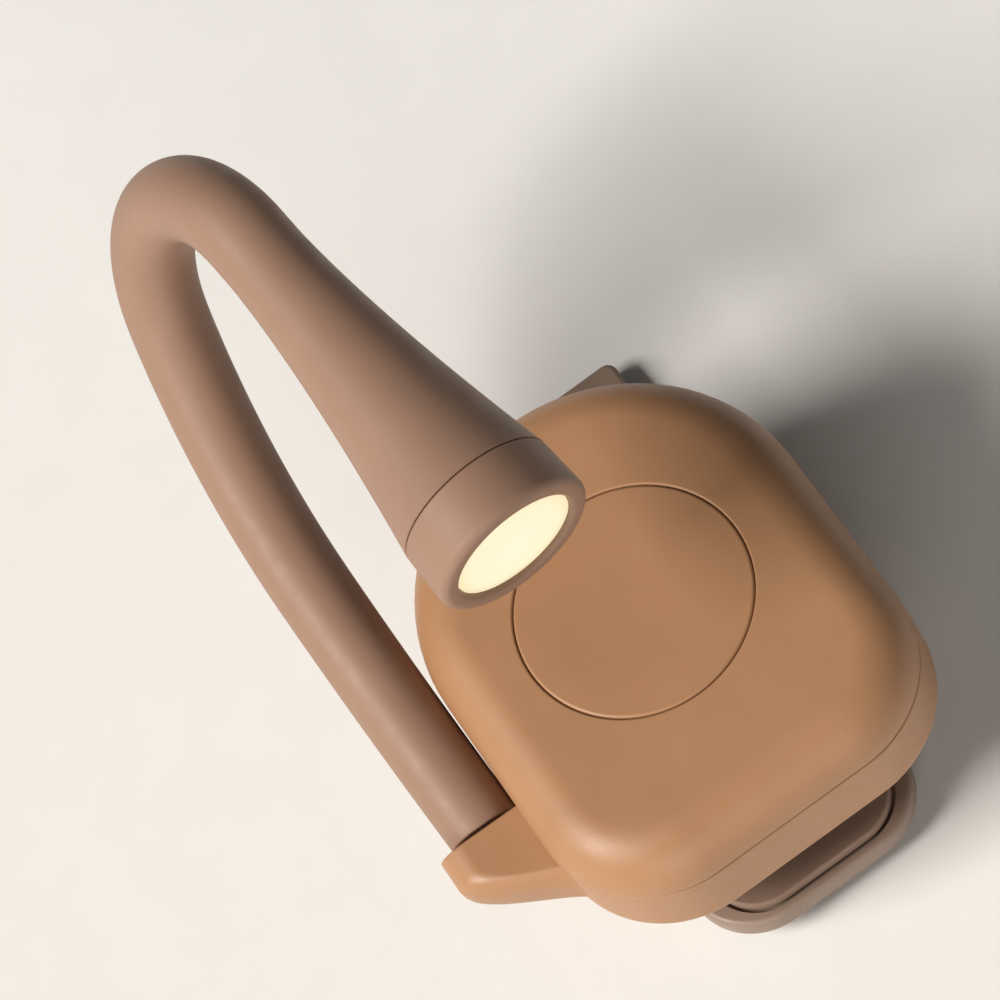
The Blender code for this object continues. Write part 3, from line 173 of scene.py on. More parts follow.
# Neck and head
NECK_ROOT_RADIUS = 3.2 * MM
NECK_SNUG = 0.42 * MM
NECK_LOOP_RADIUS = 3.5 * MM
NECK_ROOT = Vector((-20.9, 8.4, 4.6)) * MM
NECK_HEADING = math.radians(0.8)
NECK_CLIMB = math.radians(16.6)
NECK_LEAN = math.radians(28.8)
LEG_LENGTH = 24.2 * MM
SWEEP_RADIUS = 50.8 * MM
SWEEP_TURN = math.radians(28.8)
LOOP_RADIUS = 10.7 * MM
LOOP_TURN = math.radians(139.1)
NECK_LENGTH = LEG_LENGTH + SWEEP_RADIUS * SWEEP_TURN + LOOP_RADIUS * LOOP_TURN
FIRST_PIVOT = 4.0 * MM
NECK_LINKS = 7
LINK_LENGTH = (NECK_LENGTH - FIRST_PIVOT) / NECK_LINKS
NECK_SIDES = 56
RING_PITCH = 0.5 * MM
JOIN_PITCH = 0.03 * MM
HEAD_LENGTH = 34.7 * MM
BELL_RADIUS = 6.85 * MM
BELL_LENGTH = 32.5 * MM
BELL_CURVE = 1.5
BELL_MOUTH_DEPTH = GAP * 2
BEZEL_LENGTH = 5.0 * MM
BEZEL_RADIUS = 7.0 * MM
BEZEL_BORE = 5.9 * MM
BEZEL_LIP = 0.9 * MM
BEZEL_ROUND = 0.8 * MM
SEAM_LINE = 0.08 * MM
SEAM = BEZEL_LENGTH + SEAM_LINE
SEAM_ROUND = 0.15 * MM
LENS_APERTURE = 5.4 * MM
LENS_PLAY = GAP / 3
LENS_FLANGE = 1.0 * MM
LENS_SETBACK = 0.5 * MM
LENS_CROWN = 0.4 * MM

# Lug that carries the neck
BOSS_RADIUS = 4.1 * MM
BOSS_TAIL = Vector((-15.7, -2.5)) * MM
BOSS_ROOT_X = -13.2 * MM
BOSS_STRAIGHT = 3.0 * MM
BOSS_ROUND = 2.6 * MM
BOSS_LOW_Z = 1.2 * MM
BOSS_HIGH_Z = 8.0 * MM
BOSS_STEPS = 40

# Screws and socket; CONTACT_SHARE is how much of its pitch a contact takes
SCREWS = tuple((x * MM, y * MM) for x, y in ((10.76, 25.618), (-10.76, 25.618), (0.0, -4.1)))
SCREW_SEAT_Z = 2.4 * MM
SCREW_RADIUS = 0.8 * MM
SCREW_HEAD_RADIUS = 1.5 * MM
SCREW_HEAD_THICKNESS = 0.6 * MM
RECESS_WIDTH = 0.35 * MM
RECESS_REACH = SCREW_HEAD_RADIUS * 2 / 3
SOCKET_HALF_WIDTH = 4.45 * MM
SOCKET_HALF_HEIGHT = 1.6 * MM
SOCKET_Z = 5.7 * MM
SOCKET_Y = (26.7 * MM, 34.0 * MM)
SOCKET_WALL = 0.3 * MM
SOCKET_BACK = WALL / 2
BLADE_HALF_WIDTH = 3.35 * MM
BLADE_HALF_HEIGHT = 0.35 * MM
BLADE_SETBACK = 1.0 * MM
BLADE_ROUND = BLADE_HALF_HEIGHT / 3
CONTACTS = 8
CONTACT_SETBACK = 2 * MM
CONTACT_LENGTH = 3 * MM
CONTACT_SHARE = 0.5
CONTACT_HEIGHT = BLADE_HALF_HEIGHT / 4


def closed_mesh(bm):
    """A mesh whose faces point outwards, from a finished bmesh."""
    bmesh.ops.remove_doubles(bm, verts=bm.verts, dist=MERGE_DISTANCE)
    bmesh.ops.recalc_face_normals(bm, faces=bm.faces)
    mesh = bpy.data.meshes.new("piece")
    bm.to_mesh(mesh)
    bm.free()
    return mesh


def loft(rings, closed=False):
    """A solid through rings of as many points each; a closed loft runs back to its first ring."""
    bm = bmesh.new()
    loops = [[bm.verts.new(point) for point in ring] for ring in rings]
    pairs = list(zip(loops, loops[1:]))
    if closed:
        pairs.append((loops[-1], loops[0]))
    for first, second in pairs:
        for index in range(len(first)):
            after = (index + 1) % len(first)
            bm.faces.new((first[index], first[after], second[after], second[index]))
    if not closed:
        bm.faces.new(loops[0][::-1])
        bm.faces.new(loops[-1])
    return closed_mesh(bm)


def lathe(profile, steps=TURN_STEPS, closed=False):
    """A profile of (radius, height) points turned about Z."""
    angles = [2 * math.pi * step / steps for step in range(steps)]
    rings = [
        [Vector((radius * math.cos(a), radius * math.sin(a), height)) for a in angles]
        for radius, height in profile
    ]
    return loft(rings, closed)


def block(low, high):
    """A box between two corners."""
    low, high = Vector(low), Vector(high)
    bm = bmesh.new()
    matrix = Matrix.Translation((low + high) / 2) @ Matrix.Diagonal((*(high - low), 1.0))
    bmesh.ops.create_cube(bm, size=1.0, matrix=matrix)
    return closed_mesh(bm)


def arc(centre, radius, start, end, steps=ROUND_STEPS):
    """Points along an arc, from angle start to angle end, in degrees."""
    found = []
    for step in range(steps + 1):
        angle = math.radians(start + (end - start) * step / steps)
        found.append((centre[0] + radius * math.cos(angle), centre[1] + radius * math.sin(angle)))
    return found


def rod(start, end, radius, round_ends=False):
    """A cylinder between two points, with flat or round ends."""
    start, end = Vector(start), Vector(end)
    length = (end - start).length
    profile = [(radius, 0.0), (radius, length)]
    if round_ends:
        profile = arc((0.0, radius), radius, 270, 360)
        profile += arc((0.0, length - radius), radius, 0, 90)
    mesh = lathe(profile, SMALL_TURN_STEPS)
    turn = (end - start).to_track_quat("Z", "Y").to_matrix().to_4x4()
    mesh.transform(Matrix.Translation(start) @ turn)
    return mesh


def dished(radius, rim_height, depth, power):
    """A dish or a crown, from its middle to its rim, as (radius, height) points."""
    shares = [step / DISH_STEPS for step in range(DISH_STEPS + 1)]
    return [(radius * share, rim_height - depth * (1 - share * share) ** power) for share in shares]


def outline(half_width, low_y, high_y, low_radius, high_radius):
    """(point, outward normal) pairs round a rectangle with rounded ends."""
    corners = (
        (half_width - high_radius, high_y - high_radius, high_radius),
        (high_radius - half_width, high_y - high_radius, high_radius),
        (low_radius - half_width, low_y + low_radius, low_radius),
        (half_width - low_radius, low_y + low_radius, low_radius),
    )
    found = []
    for quarter, (x, y, radius) in enumerate(corners):
        for step in range(ARC_STEPS + 1):
            angle = (quarter + step / ARC_STEPS) * math.pi / 2
            normal = Vector((math.cos(angle), math.sin(angle)))
            found.append((Vector((x, y)) + normal * radius, normal))
    dense = []
    for (point, normal), (following, _) in zip(found, found[1:] + found[:1]):
        length = (following - point).length
        if length > MERGE_DISTANCE:
            count = max(1, round(length / SIDE_PITCH)) if length > 2 * SIDE_PITCH else 1
            dense += [(point.lerp(following, step / count), normal) for step in range(count)]
    return dense


def ring(stations, inset, z):
    """The outline at a height, stepped inwards by an inset."""
    return [Vector((*(point - normal * inset), z)) for point, normal in stations]


def slab(stations, inset, low_z, high_z):
    """A flat solid of the outline's shape, with sharp edges."""
    return loft([ring(stations, inset, z) for z in (low_z, high_z)])


def rounded_rings(stations, low_z, high_z, low_round, high_round):
    """Rings up the side of a flat form whose lower and upper edges are rounded."""
    rings = []
    for across, up in arc((low_round, low_round), low_round, 270, 180):
        rings.append(ring(stations, across, low_z + up))
    for across, up in arc((high_round, -high_round), high_round, 180, 90):
        rings.append(ring(stations, across, high_z + up))
    return rings


def placed(name, data):
    """A new object in the scene that holds a mesh, a light or a camera."""
    obj = bpy.data.objects.new(name, data)
    bpy.context.scene.collection.objects.link(obj)
    return obj


def kept_mesh(obj):
    """The object's mesh with its modifiers applied."""
    bpy.context.view_layer.update()
    evaluated = obj.evaluated_get(bpy.context.evaluated_depsgraph_get())
    return bpy.data.meshes.new_from_object(evaluated)


def combine(obj, operation, *meshes):
    """Join closed meshes to the object, or cut them away, and keep the result."""
    tools = []
    for mesh in meshes:
        tools.append(placed("tool", mesh))
        modifier = obj.modifiers.new("combine", "BOOLEAN")
        modifier.operation = operation
        modifier.solver = "EXACT"
        modifier.object = tools[-1]
    obj.data = kept_mesh(obj)
    obj.modifiers.clear()
    for tool in tools:
        bpy.data.objects.remove(tool, do_unlink=True)


def soften(obj, width):
    """Round an object's sharp edges."""
    bevel = obj.modifiers.new("edges", "BEVEL")
    bevel.width = width
    bevel.segments = SOFT_SEGMENTS
    bevel.limit_method = "ANGLE"
    bevel.angle_limit = SMOOTH_ANGLE
    bevel.use_clamp_overlap = True
    bevel.miter_outer = "MITER_ARC"
    obj.data = kept_mesh(obj)
    obj.modifiers.clear()


def show(obj, material, body, slot, *nodes):
    """Shade a finished piece, let it ride on its body and stand for its CAD nodes."""
    obj.data.shade_smooth()
    obj.data.set_sharp_from_angle(angle=SMOOTH_ANGLE)
    weighted = obj.modifiers.new("normals", "WEIGHTED_NORMAL")
    weighted.keep_sharp = True
    obj.data.materials.clear()
    obj.data.materials.append(material)
    if body is not None:
        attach(obj, body)
    if nodes:
        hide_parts(*nodes)


# Materials; a layer of grain is (feature size, height)

NOISE_DETAIL = 3.0
NOISE_RANGE = (0.3, 0.7)
PATCH = 6 * MM
GLOSS_PATCH = PATCH / 3
GLOSS_SPREAD = 0.1

# This colour is partly the housing's own tan and partly painted warm light: it is made warmer and
# more orange than the plastic, as if lit by the lamp's own warm glow. The press key shares it.
HOUSING_TAN_AND_PAINTED_WARM_LIGHT = (0.405, 0.213, 0.107)
SILICONE_COLOUR = (0.305, 0.184, 0.13)
# This colour is partly the lever's own tan and partly painted shade: it is the housing's tan made
# darker and greyer, as where the lever lies in shadow behind the housing.
LEVER_TAN_AND_PAINTED_SHADE = (0.275, 0.195, 0.15)
PAD_COLOUR = (0.27, 0.175, 0.13)
SHELL_GRAIN = ((0.2 * MM, 0.009 * MM), (1.4 * MM, 0.008 * MM))
KEY_GRAIN = ((0.2 * MM, 0.006 * MM), (2.0 * MM, 0.006 * MM))
SILICONE_GRAIN = ((0.12 * MM, 0.003 * MM), (1.8 * MM, 0.012 * MM))
RUBBER_GRAIN = ((0.1 * MM, 0.006 * MM), (0.7 * MM, 0.01 * MM))

LENS_COLOUR = (0.2, 0.18, 0.12)
LENS_MOTTLE = 0.04
LENS_PATCH = 2 * MM
LENS_GRAIN = ((0.6 * MM, 0.004 * MM),)
LENS_ROUGHNESS = 0.12
LENS_GLOW = ((0.0, (1.0, 0.99, 0.76)), (0.8, (1.0, 0.96, 0.68)), (1.0, (0.95, 0.82, 0.5)))
LENS_GLOW_STRENGTH = 0.82


def shader_of(name):
    """A new material, its node tree and its shader."""
    made = bpy.data.materials.new(name)
    made.use_nodes = True
    return made, made.node_tree, made.node_tree.nodes["Principled BSDF"]


def noise(tree, size):
    """Noise whose features are about as large as the size."""
    where = tree.nodes.new("ShaderNodeTexCoord")
    made = tree.nodes.new("ShaderNodeTexNoise")
    made.inputs["Scale"].default_value = 1 / size
    made.inputs["Detail"].default_value = NOISE_DETAIL
    tree.links.new(where.outputs["Object"], made.inputs["Vector"])
    return made.outputs["Fac"]


def spread(tree, source, low, high):
    """A noise value spread between two limits."""
    made = tree.nodes.new("ShaderNodeMapRange")
    limits = (*NOISE_RANGE, low, high)
    for socket, value in zip(("From Min", "From Max", "To Min", "To Max"), limits):
        made.inputs[socket].default_value = value
    tree.links.new(source, made.inputs["Value"])
    return made.outputs["Result"]


def mottle(tree, shader, colour, amount, size):
    """Let the base colour wander a little to both sides of a colour."""
    ramp = tree.nodes.new("ShaderNodeValToRGB")
    stops = ramp.color_ramp.elements
    for stop, position, share in zip(stops, NOISE_RANGE, (1 - amount, 1 + amount)):
        stop.position = position
        stop.color = (*(min(1.0, channel * share) for channel in colour), 1.0)
    tree.links.new(noise(tree, size), ramp.inputs["Fac"])
    tree.links.new(ramp.outputs["Color"], shader.inputs["Base Color"])


def grain(tree, shader, layers):
    """Stack the layers as bumps."""
    normal = None
    for size, height in layers:
        bump = tree.nodes.new("ShaderNodeBump")
        bump.inputs["Strength"].default_value = 1.0
        bump.inputs["Distance"].default_value = height
        tree.links.new(noise(tree, size), bump.inputs["Height"])
        if normal is not None:
            tree.links.new(normal, bump.inputs["Normal"])
        normal = bump.outputs["Normal"]
    tree.links.new(normal, shader.inputs["Normal"])


def moulded(name, colour, roughness, layers, amount=0.025, **constants):
    """Moulded plastic, rubber or metal: wandering colour and gloss over a fine grain."""
    made, tree, shader = shader_of(name)
    mottle(tree, shader, colour, amount, PATCH)
    limits = (roughness * (1 - GLOSS_SPREAD), roughness * (1 + GLOSS_SPREAD))
    gloss = spread(tree, noise(tree, GLOSS_PATCH), *limits)
    tree.links.new(gloss, shader.inputs["Roughness"])
    grain(tree, shader, layers)
    for socket, value in constants.items():
        shader.inputs[socket.replace("_", " ")].default_value = value
    return made


# The housing's and the key's base colour carries painted warm light, as above.
housing_plastic = moulded("housing_plastic", HOUSING_TAN_AND_PAINTED_WARM_LIGHT, roughness=0.46, layers=SHELL_GRAIN)
key_plastic = moulded("key_plastic", HOUSING_TAN_AND_PAINTED_WARM_LIGHT, roughness=0.42, layers=KEY_GRAIN)
# The lever's base colour carries painted shade, as above.
lever_plastic = moulded("lever_plastic", LEVER_TAN_AND_PAINTED_SHADE, roughness=0.46, layers=SHELL_GRAIN)
silicone = moulded(
    "neck_silicone", SILICONE_COLOUR, roughness=0.52, layers=SILICONE_GRAIN,
    Specular_IOR_Level=0.35,
)
pad_rubber = moulded("pad_rubber", PAD_COLOUR, roughness=0.72, layers=RUBBER_GRAIN, amount=0.08)
steel = moulded(
    "pin_steel", (0.56, 0.56, 0.57), roughness=0.28, layers=((0.08 * MM, 0.0015 * MM),),
    Metallic=1.0,
)
spring_steel = moulded(
    "spring_wire", (0.36, 0.36, 0.37), roughness=0.34, layers=((0.05 * MM, 0.002 * MM),),
    amount=0.1, Metallic=1.0,
)
socket_black = moulded(
    "socket_black", (0.02, 0.02, 0.022), roughness=0.45, layers=((0.1 * MM, 0.002 * MM),),
    amount=0.15,
)
contact_gold = moulded(
    "contact_gold", (0.83, 0.62, 0.26), roughness=0.25, layers=((0.05 * MM, 0.001 * MM),),
    Metallic=1.0,
)


def lens_material():
    """The lit lens: a warm white glow, deeper towards the rim, under clear smooth plastic."""
    made, tree, shader = shader_of("lit_lens")
    where = tree.nodes.new("ShaderNodeTexCoord")
    flat = tree.nodes.new("ShaderNodeVectorMath")
    flat.operation = "MULTIPLY"
    flat.inputs[1].default_value = (1 / LENS_APERTURE, 1 / LENS_APERTURE, 0.0)
    length = tree.nodes.new("ShaderNodeVectorMath")
    length.operation = "LENGTH"
    ramp = tree.nodes.new("ShaderNodeValToRGB")
    stops = ramp.color_ramp.elements
    for index, (position, colour) in enumerate(LENS_GLOW):
        stop = stops[index] if index < len(stops) else stops.new(position)
        stop.position = position
        stop.color = (*colour, 1.0)
    tree.links.new(where.outputs["Object"], flat.inputs[0])
    tree.links.new(flat.outputs["Vector"], length.inputs[0])
    tree.links.new(length.outputs["Value"], ramp.inputs["Fac"])
    tree.links.new(ramp.outputs["Color"], shader.inputs["Emission Color"])
    mottle(tree, shader, LENS_COLOUR, LENS_MOTTLE, LENS_PATCH)
    grain(tree, shader, LENS_GRAIN)
    shader.inputs["Emission Strength"].default_value = LENS_GLOW_STRENGTH
    shader.inputs["Roughness"].default_value = LENS_ROUGHNESS
    return made


# Housing

PEBBLE = outline(HALF_WIDTH, JAW_TIP_Y, HANDLE_END_Y, JAW_CORNER_RADIUS, HALF_WIDTH)


def key_circle(radius, z):
    """A circle round the key with one point for each point of the housing's outline."""
    found = []
    for point, _ in PEBBLE:
        out = (point - Vector((0.0, KEY_Y))).normalized()
        found.append(Vector((out.x * radius, KEY_Y + out.y * radius, z)))
    return found


def between(first, second, shares):
    """Rings part of the way from one ring to another."""
    return [[a.lerp(b, share) for a, b in zip(first, second)] for share in shares]


def make_cover():
    """The cover: a wide round shoulder, a flat face and a soft edge round the key's hole."""
    low_z = PARTING_Z + PARTING_LINE
    hole = KEY_RADIUS + KEY_LINE
    rings = []
    for across, up in arc((LIP_ROUND, LIP_ROUND), LIP_ROUND, 270, 180, LIP_STEPS):
        rings.append(ring(PEBBLE, across, low_z + up))
    shoulder = arc((SHOULDER_RADIUS, 0.0), SHOULDER_RADIUS, 180, 90, SHOULDER_STEPS)
    for across, up in shoulder[1:]:
        rings.append(ring(PEBBLE, across, FACE_Z - SHOULDER_RADIUS + up))
    centre = (hole + KEY_HOLE_ROUND, FACE_Z - KEY_HOLE_ROUND)
    rim = arc(centre, KEY_HOLE_ROUND, 90, 180, RIM_STEPS)
    edge = [key_circle(radius, z) for radius, z in rim]
    rings += between(rings[-1], edge[0], FACE_SHARES) + edge
    rings.append(key_circle(hole, CEILING_Z))
    inner_round = SHOULDER_RADIUS - WALL
    centre = (SHOULDER_RADIUS, CEILING_Z - inner_round)
    for across, z in arc(centre, inner_round, 90, 180, RIM_STEPS):
        rings.append(ring(PEBBLE, across, z))
    rings.append(ring(PEBBLE, WALL, low_z))
    cover = placed("housing_cover", loft(rings, closed=True))
    show(cover, housing_plastic, "housing", "housing", "front_shell")


def make_key():
    """The press key: a faint dish, a soft rim and the flange that holds it in."""
    profile = dished(KEY_RADIUS - KEY_RIM_WIDTH, FACE_Z, KEY_DISH, power=2)
    profile += arc((KEY_RADIUS - KEY_ROUND, FACE_Z - KEY_ROUND), KEY_ROUND, 90, 0)
    profile += [
        (KEY_RADIUS, KEY_FLANGE_TOP_Z), (KEY_FLANGE_RADIUS, KEY_FLANGE_TOP_Z),
        (KEY_FLANGE_RADIUS, KEY_BOTTOM_Z), (0.0, KEY_BOTTOM_Z),
    ]
    key = placed("press_key", lathe(profile))
    key.location = (0.0, KEY_Y, 0.0)
    show(key, key_plastic, "power_key", "housing", "power_key")


def hinge_lobe(radius, far_z, low_x, high_x):
    """An ear or knuckle: round about the pin, straight to its root, with soft edges."""
    start = 180 if far_z > HINGE_Z else 0
    edge = LOBE_ROUND
    sides = arc((edge, low_x + edge), edge, 270, 180, LIP_STEPS)
    sides += arc((edge, high_x - edge), edge, 180, 90, LIP_STEPS)
    rings = []
    for inset, x in sides:
        points = arc((HINGE_Y, HINGE_Z), radius - inset, start, start + 180, LOBE_STEPS)
        points += [(points[-1][0], far_z), (points[0][0], far_z)]
        rings.append([Vector((x, y, z)) for y, z in points])
    return loft(rings)


def both_sides(pair):
    """The same stretch of X on the left and on the right."""
    return ((-pair[1], -pair[0]), pair)


def pin_bore():
    """The hole for the hinge pin, across the whole lever."""
    reach = LEVER_HALF_WIDTH + OVERRUN
    return rod((-reach, HINGE_Y, HINGE_Z), (reach, HINGE_Y, HINGE_Z), PIN_RADIUS + GAP)


def lug_section(share, inset=0.0):
    """One section of the lug, from its tail (share 0) to the neck's mouth (share 1)."""
    outer_x = NECK_ROOT.x - BOSS_RADIUS
    mouth_y = NECK_ROOT.y
    curved = (mouth_y - BOSS_STRAIGHT - BOSS_TAIL.y) / (mouth_y - BOSS_TAIL.y)
    reach = min(1.0, share / curved)
    x = BOSS_TAIL.x + (outer_x - BOSS_TAIL.x) * reach * reach * (3 - 2 * reach) + inset
    y = BOSS_TAIL.y + (mouth_y - BOSS_TAIL.y) * share
    low_z, high_z = BOSS_LOW_Z + inset, BOSS_HIGH_Z - inset
    radius = min(BOSS_ROUND, BOSS_ROOT_X - x) - inset
    flat = [(BOSS_ROOT_X, low_z)]
    flat += arc((x + radius, low_z + radius), radius, 270, 180, LUG_STEPS)
    flat += arc((x + radius, high_z - radius), radius, 180, 90, LUG_STEPS)
    flat.append((BOSS_ROOT_X, high_z))
    points = []
    for x, z in flat:
        lean = (z - NECK_ROOT.z) * math.tan(NECK_CLIMB) + (x - NECK_ROOT.x) * math.tan(NECK_HEADING)
        points.append(Vector((x, y - lean * share, z)))
    return points


def lug_mesh():
    """The rounded lug on the left flank, square to the neck at its mouth."""
    sections = [lug_section(step / BOSS_STEPS) for step in range(BOSS_STEPS)]
    length = NECK_ROOT.y - BOSS_TAIL.y
    for inset, back in arc((LIP_ROUND, -LIP_ROUND), LIP_ROUND, 180, 90, LIP_STEPS):
        sections.append(lug_section(1 + back / length, inset))
    return loft(sections)


def slot_ring(half_width, half_height, y):
    """The outline of the socket's round-ended slot, at one depth."""
    side = half_width - half_height
    points = arc((side, SOCKET_Z), half_height, -90, 90, SLOT_STEPS)
    points += arc((-side, SOCKET_Z), half_height, 90, 270, SLOT_STEPS)
    return [Vector((x, y, z)) for x, z in points]


def pad_outline(spare):
    """The outline of a grip pad or its seat: rounder at the jaw's tip, as the lever is."""
    return outline(
        PAD_HALF_WIDTH + spare, -PAD_HALF_LENGTH - spare, PAD_HALF_LENGTH + spare,
        PAD_TIP_RADIUS + spare, PAD_CORNER_RADIUS + spare,
    )


def make_tray():
    """The tray: flank lug, hinge ears, pad seat, charging mouth and screw seats."""
    rings = rounded_rings(PEBBLE, UNDERSIDE_Z, PARTING_Z, UNDERSIDE_RADIUS, LIP_ROUND)
    tray = placed("housing_tray", loft(rings))
    ear_root_z = (UNDERSIDE_Z + FLOOR_Z) / 2
    ears = [hinge_lobe(EAR_RADIUS, ear_root_z, *side) for side in both_sides(EAR_X)]
    combine(tray, "UNION", lug_mesh(), *ears)
    cavity = slab(PEBBLE, WALL, FLOOR_Z, PARTING_Z + OVERRUN)
    seat = slab(pad_outline(GAP), 0.0, UNDERSIDE_Z - OVERRUN, UNDERSIDE_Z + PAD_SEAT_DEPTH)
    mouth = loft([
        slot_ring(SOCKET_HALF_WIDTH + GAP, SOCKET_HALF_HEIGHT + GAP, y)
        for y in (SOCKET_Y[0], HANDLE_END_Y + OVERRUN)
    ])
    combine(tray, "DIFFERENCE", cavity, seat, mouth, pin_bore())
    holes = []
    low_z = UNDERSIDE_Z - OVERRUN
    for x, y in SCREWS:
        holes.append(rod((x, y, low_z), (x, y, SCREW_SEAT_Z), SCREW_HEAD_RADIUS + GAP))
        holes.append(rod((x, y, low_z), (x, y, FLOOR_Z + OVERRUN), SCREW_RADIUS + GAP))
    combine(tray, "DIFFERENCE", *holes)
    show(tray, housing_plastic, "housing", "housing", "base_shell")


def make_tray_tongue():
    """The tongue along the tray's rim, inside the cover."""
    foot_z, tip_z = PARTING_Z - TONGUE_FOOT, PARTING_Z + TONGUE_HEIGHT
    tongue = loft([
        ring(PEBBLE, TONGUE_INSET, foot_z), ring(PEBBLE, TONGUE_INSET, tip_z),
        ring(PEBBLE, WALL, tip_z), ring(PEBBLE, WALL, foot_z),
    ], closed=True)
    show(placed("tray_tongue", tongue), housing_plastic, "housing", "housing")


def make_pad(name, node, body, grip_z, away):
    """A grip pad with a grooved face and soft edges; away is the side of Z that it is fixed on."""
    low_z, high_z = sorted((grip_z, grip_z + away * PAD_THICKNESS))
    pad = placed(name, loft(rounded_rings(pad_outline(0.0), low_z, high_z, PAD_ROUND, PAD_ROUND)))
    low, high = sorted((grip_z - away * OVERRUN, grip_z + away * GROOVE_DEPTH))
    pitch = 2 * PAD_HALF_LENGTH / (PAD_GROOVES + 1)
    grooves = []
    for number in range(1, PAD_GROOVES + 1):
        y = number * pitch - PAD_HALF_LENGTH
        grooves.append(block(
            (-PAD_HALF_WIDTH - OVERRUN, y - GROOVE_WIDTH / 2, low),
            (PAD_HALF_WIDTH + OVERRUN, y + GROOVE_WIDTH / 2, high),
        ))
    combine(pad, "DIFFERENCE", *grooves)
    show(pad, pad_rubber, body, "grip_pad", node)


def make_pin():
    """The hinge pin, with a chamfer at each end."""
    profile = [
        (0.0, -PIN_REACH), (PIN_RADIUS - PIN_CHAMFER, -PIN_REACH),
        (PIN_RADIUS, PIN_CHAMFER - PIN_REACH),
    ]
    profile += [(radius, -height) for radius, height in reversed(profile)]
    mesh = lathe(profile, SMALL_TURN_STEPS)
    turn = Matrix.Rotation(math.pi / 2, 4, "Y")
    mesh.transform(Matrix.Translation((0, HINGE_Y, HINGE_Z)) @ turn)
    show(placed("pin", mesh), steel, "housing", "steel", "hinge_pin")


def lever_drop(y):
    """How far the lever lies below its jaw's level: none up to the kink, then a steady slope."""
    past = (y - LEVER_KINK_Y) / MM
    return math.tan(LEVER_SLOPE) * MM * math.log1p(math.exp(past * KINK_EASE)) / KINK_EASE


def make_lever():
    """The rear jaw and thumb lever in one moulding, kinked behind the hinge."""
    stations = outline(
        LEVER_HALF_WIDTH, JAW_TIP_Y, LEVER_TAIL_Y, LEVER_JAW_RADIUS, LEVER_TAIL_RADIUS,
    )
    mesh = loft(rounded_rings(stations, LEVER_BOTTOM_Z, LEVER_TOP_Z, LEVER_ROUND, LEVER_ROUND))
    bm = bmesh.new()
    bm.from_mesh(mesh)
    for step in range(-KINK_CUTS, KINK_CUTS + 1):
        bmesh.ops.bisect_plane(
            bm, geom=bm.verts[:] + bm.edges[:] + bm.faces[:], dist=MERGE_DISTANCE,
            plane_co=(0, LEVER_KINK_Y + step * MM / KINK_CUTS_PER_MM, 0), plane_no=(0, 1, 0),
        )
    for vertex in bm.verts:
        vertex.co.z -= lever_drop(vertex.co.y)
    lever = placed("lever", closed_mesh(bm))
    root_z = (LEVER_TOP_Z + LEVER_BOTTOM_Z) / 2
    joined = [hinge_lobe(KNUCKLE_RADIUS, root_z, *side) for side in both_sides(KNUCKLE_X)]
    for number in range(RIB_COUNT):
        y = LEVER_TAIL_Y - RIB_END - number * RIB_PITCH
        z = LEVER_BOTTOM_Z - lever_drop(y)
        joined.append(rod((-RIB_REACH, y, z), (RIB_REACH, y, z), RIB_RADIUS, round_ends=True))
    combine(lever, "UNION", *joined)
    seat = slab(pad_outline(GAP), 0.0, LEVER_TOP_Z - PAD_SEAT_DEPTH, LEVER_TOP_Z + OVERRUN)
    combine(lever, "DIFFERENCE", pin_bore(), seat)
    show(lever, lever_plastic, "rear_lever", "housing", "rear_lever")


def wire_rings(index, count):
    """(step along, radius) of the wire's rings at a point: two at its ends, which are rounded."""
    if index == 0:
        return ((0.0, WIRE_RADIUS - WIRE_EDGE), (WIRE_EDGE, WIRE_RADIUS))
    if index == count - 1:
        return ((-WIRE_EDGE, WIRE_RADIUS), (0.0, WIRE_RADIUS - WIRE_EDGE))
    return ((0.0, WIRE_RADIUS),)


def make_spring():
    """The torsion spring: a leg under the housing, the coil round the pin, a leg on the lever."""
    leg_y = HINGE_Y + SPRING_LEG
    top_z = UNDERSIDE_Z - GAP - WIRE_RADIUS
    low_z = LEVER_TOP_Z - lever_drop(leg_y) + GAP + WIRE_RADIUS
    points = [Vector((-COIL_HALF_LENGTH, leg_y, top_z))]
    for step in range(COIL_STEPS + 1):
        share = step / COIL_STEPS
        angle = 2 * math.pi * COIL_TURNS * share
        points.append(Vector((
            COIL_HALF_LENGTH * (2 * share - 1),
            HINGE_Y - COIL_RADIUS * math.sin(angle),
            HINGE_Z + COIL_RADIUS * math.cos(angle),
        )))
    points.append(Vector((COIL_HALF_LENGTH, leg_y, low_z)))
    rings = []
    for index, point in enumerate(points):
        ahead = (points[min(index + 1, len(points) - 1)] - points[max(index - 1, 0)]).normalized()
        across = Vector((1, 0, 0)) - ahead * ahead.x
        across.normalize()
        up = ahead.cross(across)
        for back, radius in wire_rings(index, len(points)):
            rings.append([
                point + ahead * back + (across * math.cos(a) + up * math.sin(a)) * radius
                for a in (2 * math.pi * side / WIRE_SIDES for side in range(WIRE_SIDES))
            ])
    spring = placed("spring", loft(rings))
    show(spring, spring_steel, None, "spring_steel", "torsion_spring")
    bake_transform(spring)


